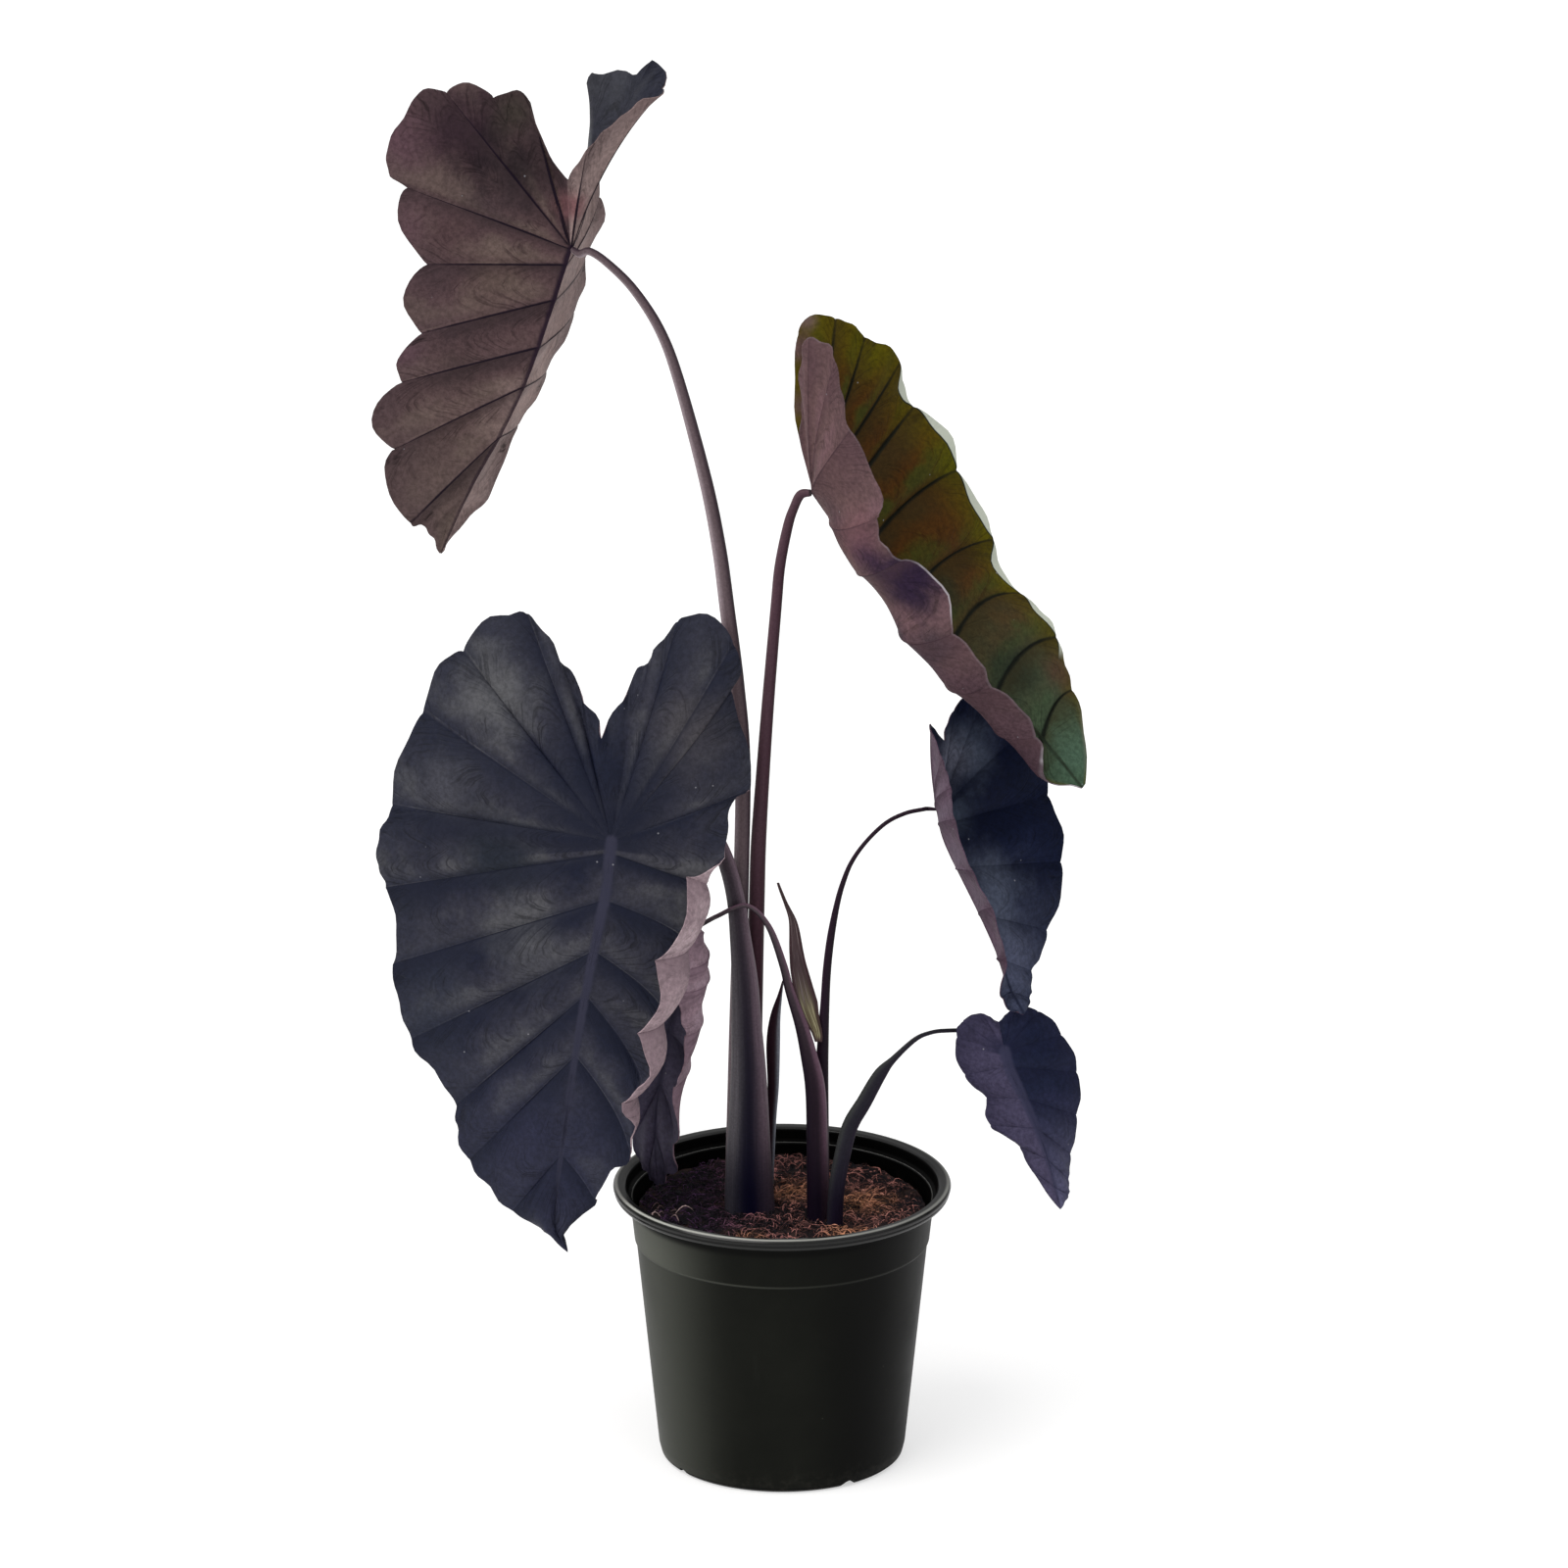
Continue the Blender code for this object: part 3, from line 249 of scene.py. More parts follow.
        "right_bow": {0: (0, 0, -2), 9: (0, 0, -2)},
        "plain": [],
        "scallop": 0.12,
    },
}

# Each stalk runs from its hole in the soil up to its blade. The first two places are the
# bottom of the hole and the soil's surface, as (x, y) of the standing foot. Then follow points
# (right, up, back) with the half width and half depth of the stalk there, in millimetres.
STALKS = {
    "a": {
        "foot": (-25, 7, 4.6, 4.4),
        "path": [((-23, 215, 6), 4.3, 4.1), ((-21, 290, 4.5), 4.0, 4.0), ((-20, 354, 5), 4.0, 4.0),
            ((-23, 394, 5), 4.0, 4.0), ((-28, 434, 5), 3.9, 3.9), ((-32, 464, 5), 3.7, 3.7),
            ((-39, 499, 5), 3.4, 3.4), ((-52.5, 549, 5), 2.9, 2.9), ((-62, 574, 5), 2.6, 2.6),
            ((-75, 594, 5), 2.3, 2.3), ((-88, 607, 5), 2.1, 2.1), ((-97, 613, 6), 2.0, 2.0)],
    },
    "b": {
        "foot": (-15.5, 12, 4.5, 4.4),
        "path": [((-14.3, 220, 11), 4.3, 4.3), ((-12.8, 288, 9), 4.1, 4.1),
            ((-12, 314, 9), 4.0, 4.0), ((-10, 346, 8), 3.6, 3.6), ((-7, 387, 6), 3.2, 3.2),
            ((-3, 434, 3), 2.9, 2.9), ((-1, 455, 2), 2.8, 2.8), ((3, 475, 1), 2.6, 2.6),
            ((6, 484, 0), 2.4, 2.4)],
    },
    "c": {
        "foot": (-16.5, -7.5, 13.0, 8.5),
        "path": [((-17, 148, -7.5), 11.8, 8.0), ((-17, 193, -7), 9.3, 7.0),
            ((-18, 219, -6), 7.9, 6.4), ((-19, 242, -5), 6.9, 5.8), ((-21, 263, -4.5), 5.6, 5.2),
            ((-24, 287, -4.8), 4.6, 4.5), ((-30, 308, -4), 4.3, 4.3), ((-40, 325, -2), 4.0, 4.0),
            ((-54, 336, 0), 3.6, 3.6), ((-68, 337, -4), 3.2, 3.2), ((-79, 329, -10), 2.9, 2.9)],
    },
    "d": {
        "foot": (18.5, -21.5, 5.8, 5.6),
        "path": [((18, 164, -21), 5.5, 5.2), ((17, 188, -19), 5.2, 4.8), ((14, 204, -17), 4.4, 4.0),
            ((10, 220, -15), 3.4, 3.2), ((4, 238, -13), 2.4, 2.2), ((1, 250, -12.5), 2.1, 2.0),
            ((-4, 265, -12), 1.8, 1.8), ((-8, 273, -12), 1.5, 1.5), ((-13, 279, -12), 1.3, 1.3),
            ((-19, 282, -12), 1.2, 1.2), ((-26, 280, -11), 1.2, 1.2), ((-32, 277, -4), 1.2, 1.2),
            ((-36, 275, 4), 1.2, 1.2)],
    },
    "e": {
        "foot": (20.5, -9.5, 4.0, 4.0),
        "path": [((20.5, 189, -9.5), 3.4, 3.4), ((21, 212, -9), 3.0, 3.0),
            ((22, 232, -8), 2.4, 2.4), ((23, 249, -7), 2.2, 2.2), ((25, 266, -5), 2.0, 2.0),
            ((28, 282, -3), 1.6, 1.6), ((31, 293, -1), 1.4, 1.4), ((35.5, 304, 2), 1.2, 1.2),
            ((43, 314.5, 6), 1.1, 1.1), ((53, 324, 10), 1.1, 1.1), ((63, 329, 13), 1.1, 1.1),
            ((72, 331, 14), 1.1, 1.1)],
    },
    "f": {
        "foot": (27, -30, 4.2, 4.0),
        "path": [((28, 137, -30), 4.2, 3.8), ((31, 154, -28), 4.2, 3.4), ((35, 169, -25), 4.2, 3.0),
            ((42, 181, -22), 4.0, 2.6), ((50, 195, -18), 3.4, 2.2), ((57, 203, -15), 1.8, 1.8),
            ((68, 213, -8), 1.3, 1.3), ((76, 216.5, -3), 1.1, 1.1), ((84, 217.5, 2), 1.1, 1.1),
            ((94, 217, 6), 1.1, 1.1), ((104, 212, 7), 1.1, 1.1)],
    },
}

# Slender dark sheath behind the main stalk, and the dry papery sheath beside stalk d.
DARK_SHEATH = {
    "foot": (-7, 13, 2.4, 2.0),
    "path": [((-5.5, 169, 12.5), 2.5, 1.6), ((-4.5, 189, 12), 3.0, 1.5),
        ((-4.5, 210, 11), 3.6, 1.3), ((-3.5, 224, 10), 2.8, 1.1), ((-1, 236, 9), 1.2, 0.8),
        ((0.5, 243, 8), 0.5, 0.5)],
}
DRY_SHEATH = {
    "axis": [(18.6, 212, -13.5), (17.6, 217.5, -11.5), (14.6, 226, -9), (12.3, 234, -7),
             (8.9, 249, -6.5), (7.4, 259, -6.5), (5.5, 274, -6.5), (1.5, 284, -6.5),
             (-2, 293.5, -6.5)],
    "half_widths": [1.6, 2.7, 4.4, 5.5, 4.6, 3.4, 1.9, 1.0, 0.4],
    "hollow": 0.55,
    "flat_width": 3.5,
    "half_thickness": 0.28,
}


# Curves and surfaces


def seen(point):
    """World place or offset, in metres, of one in millimetres right, up and back as seen."""
    right, up, back = point
    height = (up - back * math.sin(VIEW_RISE)) / math.cos(VIEW_RISE)
    return np.array((right, back, height)) * MM


def smooth_point(points, place):
    """Point at a place, counted in points from 0, on the smooth curve through the points."""
    last = len(points) - 1
    index = min(int(place), last - 1)
    part = place - index
    here = points[index]
    after = points[index + 1]
    before = points[index - 1] if index > 0 else 2 * here - after
    beyond = points[index + 2] if index + 2 <= last else 2 * after - here
    return 0.5 * (2 * here + (after - before) * part
                  + (2 * before - 5 * here + 4 * after - beyond) * part ** 2
                  + (3 * here - before - 3 * after + beyond) * part ** 3)


def midrib_point(points, part):
    """Point on the midrib at a part of its length, 0 at the stalk joint and 1 at the tip."""
    lengths = [float(np.linalg.norm(b - a)) for a, b in zip(points, points[1:])]
    reached = np.concatenate(([0.0], np.cumsum(lengths)))
    place = float(np.interp(part * reached[-1], reached, range(len(points))))
    return smooth_point(points, place)


def bow_at(bows, place):
    """Sideways pull on the middle of a vein, evened out between the veins that state one."""
    rows = sorted(bows)
    offset = np.zeros(3)
    for shift in (-0.2, -0.1, 0.0, 0.1, 0.2):
        near = min(max(place + shift, rows[0]), rows[-1])
        offset += [np.interp(near, rows, [bows[row][axis] for row in rows]) for axis in range(3)]
    return seen(offset / 5)


def margin_point(leaf, side, start, place):
    """Point on the scalloped margin at a place counted in veins from the cleft."""
    ends = [np.array(point, float) for point in (leaf["cleft"], *leaf[side], leaf["midrib"][-1])]
    gap = min(int(place), len(ends) - 2)
    swell = math.sin(math.pi * (place - gap)) ** 0.8 if place > gap else 0.0
    base = smooth_point(ends, place)
    peak = leaf.get(side + "_peaks", {}).get(gap)
    if peak:
        bulge = np.array((*peak, 0.0)) - smooth_point(ends, gap + 0.5) * (1.0, 1.0, 0.0)
        return seen(base + bulge * swell)
    outward = seen(base) - start
    if gap == 0 or place == len(ends) - 1:
        return seen(base)
    chord = float(np.linalg.norm(seen(ends[gap + 1] - ends[gap])))
    at_the_tip = gap == len(ends) - 2
    bulge = leaf["scallop"] * chord * (0.4 if at_the_tip else 1.0)
    return seen(base) + outward / float(np.linalg.norm(outward)) * bulge * swell


def surface_normals(points, faces):
    """Unit normal at each point of a surface of four-cornered faces."""
    corners = points[faces]
    slopes = np.cross(corners[:, 2] - corners[:, 0], corners[:, 3] - corners[:, 1])
    normals = np.zeros_like(points)
    for corner in range(4):
        np.add.at(normals, faces[:, corner], slopes)
    lengths = np.linalg.norm(normals, axis=1, keepdims=True)
    return normals / np.maximum(lengths, 1e-12)


def tube_walls(first, rings, sides):
    """Faces between rings of points that follow one another, from a first point on."""
    faces = []
    for ring in range(rings - 1):
        for side in range(sides):
            low = first + ring * sides + side
            low_next = first + ring * sides + (side + 1) % sides
            faces.append((low, low_next, low_next + sides, low + sides))
    return faces


def add_item(name, data):
    """Link a new object that shows the data."""
    item = bpy.data.objects.new(name, data)
    bpy.context.scene.collection.objects.link(item)
    return item


def add_mesh(name, points, faces, finishes, sharp_angle=60.0):
    """Link a smooth-shaded mesh object that carries the given materials."""
    mesh = bpy.data.meshes.new(name)
    mesh.from_pydata([tuple(point) for point in points], [], faces)
    mesh.shade_smooth()
    mesh.set_sharp_from_angle(angle=math.radians(sharp_angle))
    for finish in finishes:
        mesh.materials.append(finish)
    return add_item(name, mesh)


def add_values(item, values):
    """Store named numbers on the points of a mesh, for its material to read."""
    for name, numbers in values.items():
        layer = item.data.attributes.new(name, "FLOAT", "POINT")
        layer.data.foreach_set("value", np.asarray(numbers, dtype=np.float32))


# Leaf blades

# What every point of a blade carries, and its value on the midrib: how far out and down the blade
# it is, on which half, how far from a vein, the run of the side veins, how near the middle between
# two veins, its place counted in veins, how far in from the margin, how strong the veins are, and
# how far on the way from one vein to the next.
CARRIED = {"reach": 0.0, "down": 0.0, "half": 0.0, "across": 1.0, "sweep": 0.0, "middle": 0.0,
           "row": 0.0, "inset": 60.0, "strong": 0.0, "fall": 0.5}

# Where a margin waves more than elsewhere: side, first and last place, and how many times as much
WAVY_PARTS = {"a": [("left", 2.4, 6.2, 3.2)], "b": [("left", 1.2, 9.0, 1.7)],
              "c": [("left", 0.2, 2.8, 3.0), ("right", 0.2, 2.4, 3.0), ("left", 8.5, 12.5, 1.8),
                    ("right", 9.0, 12.8, 2.4)],
              "d": [("left", 2.0, 8.6, 2.4), ("right", 2.0, 8.6, 2.4)],
              "e": [("right", 1.5, 8.5, 1.6)]}


def frill(place):
    """Small waves of the margin, about one high, at a place counted in veins from the cleft."""
    wave = 0.65 * math.sin(6.9 * place + 0.7) + 0.4 * math.sin(12.3 * place + 2.1)
    return wave * min(1.0, place * 1.5)


class Blade:
    """Middle surface of one blade, as rays that run from the midrib out to the margin.

    Each point also carries what the leaf materials read: how far out it is, how far down the
    blade, how far across from the nearest vein, and on which half.
    """

    def __init__(self, key, leaf):
        self.key = key
        self.leaf = leaf
        self.last = len(leaf["starts"]) - 1
        self.points = []
        self.lift = []
        self.values = {name: [] for name in CARRIED}
        self.faces = []
        self.margins = []
        self.midrib = [seen(point) for point in leaf["midrib"]]
        self.frill_size = float(np.linalg.norm(self.midrib[-1] - self.midrib[0])) * FRILL
        self.reaches = np.linspace(0.0, 1.0, FINE_STEPS + 1)[1:]
        self.joint = self.add(self.midrib[0][None], 0.0)[0]
        self.spine = {}
        self.cleft = None
        for side, turn in (("left", 1), ("right", -1)):
            self.add_side(side, turn)
        self.finish()

    def add(self, points, lift, **carried):
        """Add points with what they carry; returns their indices."""
        first = len(self.points)
        count = len(points)
        self.points.extend(points)
        self.lift.extend(np.broadcast_to(lift, count))
        for name, usual in CARRIED.items():
            self.values[name].extend(np.broadcast_to(carried.get(name, usual), count))
        return list(range(first, first + count))

    def waves(self, side, place):
        """How far the margin is waved at a place, in metres."""
        size = self.frill_size
        for wavy_side, first, last, times in WAVY_PARTS.get(self.key, []):
            if side == wavy_side:
                within = min(max(min(place - first, last - place) / 0.5, 0.0), 1.0)
                size *= 1.0 + (times - 1.0) * within
        return frill(place) * size

    def start_part(self, place):
        """Part of the midrib's length at which the ray at a place starts."""
        starts = self.leaf["starts"]
        return float(np.interp(place, range(len(starts)), starts))

    def spine_index(self, part):
        """Point of the midrib that both halves share."""
        if part <= 0.0:
            return self.joint
        key = round(part, 6)
        if key not in self.spine:
            place = midrib_point(self.midrib, part)[None]
            self.spine[key] = self.add(place, 0.0, down=part)[0]
        return self.spine[key]

    def curve(self, side, place):
        """Points along the ray at a place counted in veins from the cleft."""
        start = midrib_point(self.midrib, self.start_part(place))
        end = margin_point(self.leaf, side, start, place)
        middle = (start + end) / 2 + bow_at(self.leaf[side + "_bow"], place)
        end = end + (end - middle) / float(np.linalg.norm(end - middle)) * self.waves(side, place)
        reach = self.reaches[:, None]
        return start * (1 - reach) ** 2 + middle * 2 * reach * (1 - reach) + end * reach ** 2

    def is_vein(self, place):
        """Whether a row of the leaf's list is a vein, and not only a point on its margin."""
        return 0 < place < self.last and place not in self.leaf["plain"]

    def ray(self, side, place):
        """Indices of one ray's points, from the midrib to the margin."""
        part = self.start_part(place)
        first = self.spine_index(part)
        if place == self.last:
            return [first] * (FINE_STEPS + 1)
        if place == 0 and self.cleft:
            return self.cleft
        gap = int(place)
        share = place - gap
        points = self.curve(side, place)
        before = self.curve(side, gap)
        after = self.curve(side, gap + 1)
        spacing = np.linalg.norm(after - before, axis=1)
        quilt = self.leaf.get(side + "_quilt", QUILT)
        puff = quilt * np.sin(math.pi * self.reaches) - RIPPLE * self.reaches ** 4
        lift = spacing * puff * math.sin(math.pi * share) ** 0.85 if share else 0.0
        lift = lift + self.waves(side, place + 0.4) * np.clip(self.reaches * 3 - 2, 0, 1) ** 2
        nearest = [abs(place - row) for row in (gap, gap + 1) if self.is_vein(row)]
        middle = math.sin(math.pi * share)
        veins = [row for row in range(self.last + 1) if self.is_vein(row)]
        above = max([row for row in veins if row <= place], default=0)
        below = min([row for row in veins if row > place], default=self.last)
        along = np.linalg.norm(points - self.points[first], axis=1) / MM
        drop = self.points[self.joint][2] - points[:, 2]
        found = self.add(
            points, lift, reach=self.reaches,
            down=np.clip(drop / (self.points[self.joint][2] - self.midrib[-1][2]), -1.0, 1.0),
            half=self.reaches * (-1.0 if side == "left" else 1.0),
            across=spacing / MM * (min(nearest) if nearest else 1.0),
            sweep=along - FEATHER_SLANT * spacing / MM * middle / math.pi,
            middle=middle, row=place, inset=along[-1] - along,
            strong=1.0 if part > 0.02 else np.clip(self.reaches * 2.4 - 0.3, 0.0, 1.0),
            fall=(place - above) / (below - above))
        if place == 0:
            self.cleft = [first] + found
        return [first] + found

    def add_side(self, side, turn):
        """Fill one half of the blade with faces between neighbouring rays."""
        places = [gap + share for gap in range(self.last) for share in FINE_PLACES] + [self.last]
        rays = [self.ray(side, place) for place in places]
        for before, after in zip(rays, rays[1:]):
            for step in range(FINE_STEPS):
                corners = (before[step], before[step + 1], after[step + 1], after[step])
                self.faces.append(corners if turn > 0 else corners[::-1])
            rim = (before[-1], after[-1]) if turn > 0 else (after[-1], before[-1])
            self.margins.append(rim)

    def finish(self):
        """Raise the quilting, and shape the ribs and the grooves above them."""
        self.points = np.array(self.points)
        self.faces = np.array(self.faces)
        lift = np.array(self.lift)[:, None]
        if self.key in TAILS:
            self.draw_out_tail(*TAILS[self.key])
        self.points = self.points + surface_normals(self.points, self.faces) * lift
        self.normals = surface_normals(self.points, self.faces)
        reach = np.array(self.values["reach"])
        line = np.array([midrib_point(self.midrib, part) for part in np.linspace(0, 1, 160)])
        steps = self.points[:, None, :] - line[None, :, :]
        off_midrib = np.sqrt((steps ** 2).sum(axis=2)).min(axis=1) / MM
        down = np.clip(np.array(self.values["down"]), 0.0, 1.0)
        midrib_half = MIDRIB_HALF * (1.0 - MIDRIB_TAPER * down)
        vein_half = VEIN_HALF * (1.0 - VEIN_TAPER * reach)
        across = np.array(self.values["across"])
        self.values["off_midrib"] = off_midrib / midrib_half
        self.values["off_vein"] = across / vein_half
        rib = VEIN_RIB * (1.0 - reach) * np.exp(-(across / vein_half) ** 2)
        main = MIDRIB_RIB * (1.0 - 0.75 * down) * np.exp(-(off_midrib / midrib_half) ** 2)
        self.rib = np.maximum(rib, main)
        fade = (1.0 - 0.6 * reach) * np.array(self.values["strong"])
        self.groove = VEIN_GROOVE * fade * np.exp(-(across / (1.3 * vein_half)) ** 2)
        self.half = BLADE_HALF + (MARGIN_HALF - BLADE_HALF) * reach

    def draw_out_tail(self, length, widened):
        """Narrow the blade just above its tip to a thin tail."""
        tip = self.midrib[-1]
        axis = midrib_point(self.midrib, TAIL_AXIS_FROM) - tip
        axis = axis / np.linalg.norm(axis)
        up = (self.points - tip) @ axis
        sideways = self.points - tip - up[:, None] * axis
        part = np.clip((up - length) / (widened - length), 0.0, 1.0)
        kept = TAIL_WIDTH + (1.0 - TAIL_WIDTH) * part * part * (3 - 2 * part)
        self.points = tip + up[:, None] * axis + sideways * kept[:, None]

    def upper(self):
        """Points of the upper face."""
        return self.points + self.normals * (self.half - self.groove)[:, None]

    def under(self):
        """Points of the underside, with the ribs standing out."""
        return self.points - self.normals * (self.half + self.rib)[:, None]

    def seat(self):
        """Place on the underside where the stalk ends, and the direction down the stalk."""
        return self.under()[self.joint], -self.normals[self.joint]


def make_blade(key, blade, upper_finish, under_finish):
    """Closed fine blade that stands for the plain one."""
    count = len(blade.points)
    faces = []
    under_faces = []
    for face in blade.faces:
        corners = []
        for index in face:
            if not corners or (index != corners[-1] and index != corners[0]):
                corners.append(int(index))
        if len(corners) > 2:
            faces.append(tuple(corners))
            under_faces.append(tuple(index + count for index in corners[::-1]))
    upper_total = len(faces)
    faces += under_faces
    for start, end in blade.margins:
        if start != end:
            faces.append((start, start + count, end + count, end))
    points = np.concatenate((blade.upper(), blade.under()))
    item = add_mesh(f"leaf_{key}", points, faces, [upper_finish, under_finish])
    under = np.zeros(len(faces), dtype=np.int32)
    under[upper_total:] = 1
    item.data.polygons.foreach_set("material_index", under)
    add_values(item, {name: np.tile(numbers, 2) for name, numbers in blade.values.items()})
    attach(item, "root")
    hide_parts(f"blade_{key}")


# Stalks and sheaths


def tube(name, centres, halves, finish, groove=0.0):
    """Closed oval tube along a line of centres; starts with its width along X.

    The points carry how far round and how far along they are, for the stalk materials.
    """
    across = np.array((1.0, 0.0, 0.0))
    points = []
    around = []
    along = []
    reached = 0.0
    for index, centre in enumerate(centres):
        ahead = centres[min(index + 1, len(centres) - 1)]
        behind = centres[max(index - 1, 0)]
        line = (ahead - behind) / np.linalg.norm(ahead - behind)
        across = across - line * float(np.dot(across, line))
        across = across / np.linalg.norm(across)
        through = np.cross(line, across)
        if index:
            reached += float(np.linalg.norm(centre - centres[index - 1])) / MM
        half_width, half_depth = halves[index]
        for side in range(STALK_SIDES):
            angle = 2 * math.pi * side / STALK_SIDES
            furrow = 1.0 - groove * max(0.0, math.cos(3 * angle + 0.6)) ** 8
            points.append(centre + across * math.cos(angle) * half_width * furrow
                          + through * math.sin(angle) * half_depth * furrow)
            around.append(math.cos(angle))
            along.append(reached)
    top = (len(centres) - 1) * STALK_SIDES
    faces = [tuple(range(STALK_SIDES))[::-1], *tube_walls(0, len(centres), STALK_SIDES),
             tuple(range(top, top + STALK_SIDES))]
    item = add_mesh(name, points, faces, [finish])
    add_values(item, {"around": around, "along": along})
    return item


def stalk_line(spec, seat):
    """Centres and half sizes of a stalk, from its foot in the soil to its end."""
    x, y, half_width, half_depth = spec["foot"]
    foot = np.array((x * MM, y * MM, 0.0))
    knots = [foot + np.array((0.0, 0.0, height))
             for height in (SOIL_LEVEL - HOLE_DEPTH + 0.3 * MM, SOIL_LEVEL + 2 * MM)]
    sizes = [(half_width, half_depth)] * 2
    for point, half_width, half_depth in spec["path"]:
        knots.append(seen(point))
        sizes.append((half_width, half_depth))
    if seat:
        place, down = seat
        knots += [place + down * STALK_MEETING, place + down * STALK_SEAT]
        half_width, half_depth = sizes[-1]
        sizes += [sizes[-1], (half_width * STALK_END_TAPER, half_depth * STALK_END_TAPER)]
    sizes = [np.array(size) * MM for size in sizes]
    centres = [knots[0]]
    halves = [sizes[0]]
    for gap in range(1, len(knots) - 1):
        for ring in range(STALK_RINGS_PER_GAP):
            place = gap + ring / STALK_RINGS_PER_GAP
            centres.append(smooth_point(knots[1:], place - 1))
            halves.append(smooth_point(sizes[1:], place - 1))
    centres.append(knots[-1])
    halves.append(sizes[-1])
    return centres, halves


def make_stalk(key, seat, finish):
    """Fine leaf stalk that stands for the plain one."""
    centres, halves = stalk_line(STALKS[key], seat)
    item = tube(f"petiole_{key}", centres, halves, finish, groove=0.05)
    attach(item, "root")
    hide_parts(f"stalk_{key}")


def make_dark_sheath(finish):
    """Slender closed sheath that stands behind the main stalk."""
    centres, halves = stalk_line(DARK_SHEATH, None)
    item = tube("slender_sheath", centres, halves, finish, groove=0.12)
    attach(item, "root")
    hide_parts("sheath_dark")


def make_dry_sheath(finish):
    """Papery sheath: a thin creased trough that narrows to a point."""
    spec = DRY_SHEATH
    axis = [seen(point) for point in spec["axis"]]
    columns = SHEATH_COLUMNS
    rows = SHEATH_ROWS
    points = []
    around = []
    along = []
    for row in range(rows + 1):
        place = row / rows * (len(axis) - 1)
        centre = smooth_point(axis, place)
        half_width = float(np.interp(place, range(len(axis)), spec["half_widths"]))
        hollow = spec["hollow"] * half_width * min(1.0, half_width / spec["flat_width"])
        for column in range(columns + 1):
            across = 2 * column / columns - 1
            waver = 0.2 * abs(across) ** 4 * math.sin(place * 2.3 + across)
            crease = 0.12 * math.sin(across * 9 + place * 1.5)
            offset = (across * half_width + waver, -across ** 2 * hollow + crease, 0.0)
            points.append(centre + np.array(offset) * MM)
            around.append(across)
            along.append(place * 20)
    points = np.array(points)
    width = columns + 1
    faces = []
    for row in range(rows):
        for column in range(columns):
            low = row * width + column
            faces.append((low, low + 1, low + width + 1, low + width))
    faces = np.array(faces)
    normals = surface_normals(points, faces)
    half = spec["half_thickness"] * MM
    last = rows * width
    rim = [(column, column + 1) for column in range(columns)]
    rim += [(row * width + columns, (row + 1) * width + columns) for row in range(rows)]
    rim += [(last + column + 1, last + column) for column in range(columns)]
    rim += [((row + 1) * width, row * width) for row in range(rows)]
    count = len(points)
    solid = [tuple(int(index) for index in face) for face in faces]
    solid += [tuple(int(index) + count for index in face[::-1]) for face in faces]
    solid += [(start, start + count, end + count, end) for start, end in rim]
    item = add_mesh("papery_sheath", np.concatenate((points + normals * half,
                                                     points - normals * half)), solid, [finish])
    add_values(item, {"around": around * 2, "along": along * 2})
    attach(item, "root")
    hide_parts("sheath_dry")


# Pot


def wall_radius(height):
    """Outer radius of the pot's plain wall at a height."""
    top = BAND_RADIUS - BAND_STEP
    return BASE_RADIUS + (top - BASE_RADIUS) * height / LIP_BOTTOM


def rounded(profile):
    """Profile whose corners are rounded off."""
    points = [np.array(point) for point in profile]
    found = [points[0]]
    for before, corner, after in zip(points, points[1:], points[2:]):
        back = before - corner
        ahead = after - corner
        reach = min(CORNER_RADIUS, 0.4 * np.linalg.norm(back), 0.4 * np.linalg.norm(ahead))
        start = corner + back / np.linalg.norm(back) * reach
        end = corner + ahead / np.linalg.norm(ahead) * reach
        for step in range(CORNER_STEPS + 1):
            part = step / CORNER_STEPS
            found.append(start * (1 - part) ** 2 + corner * 2 * part * (1 - part) + end * part ** 2)
    found.append(points[-1])
    return found


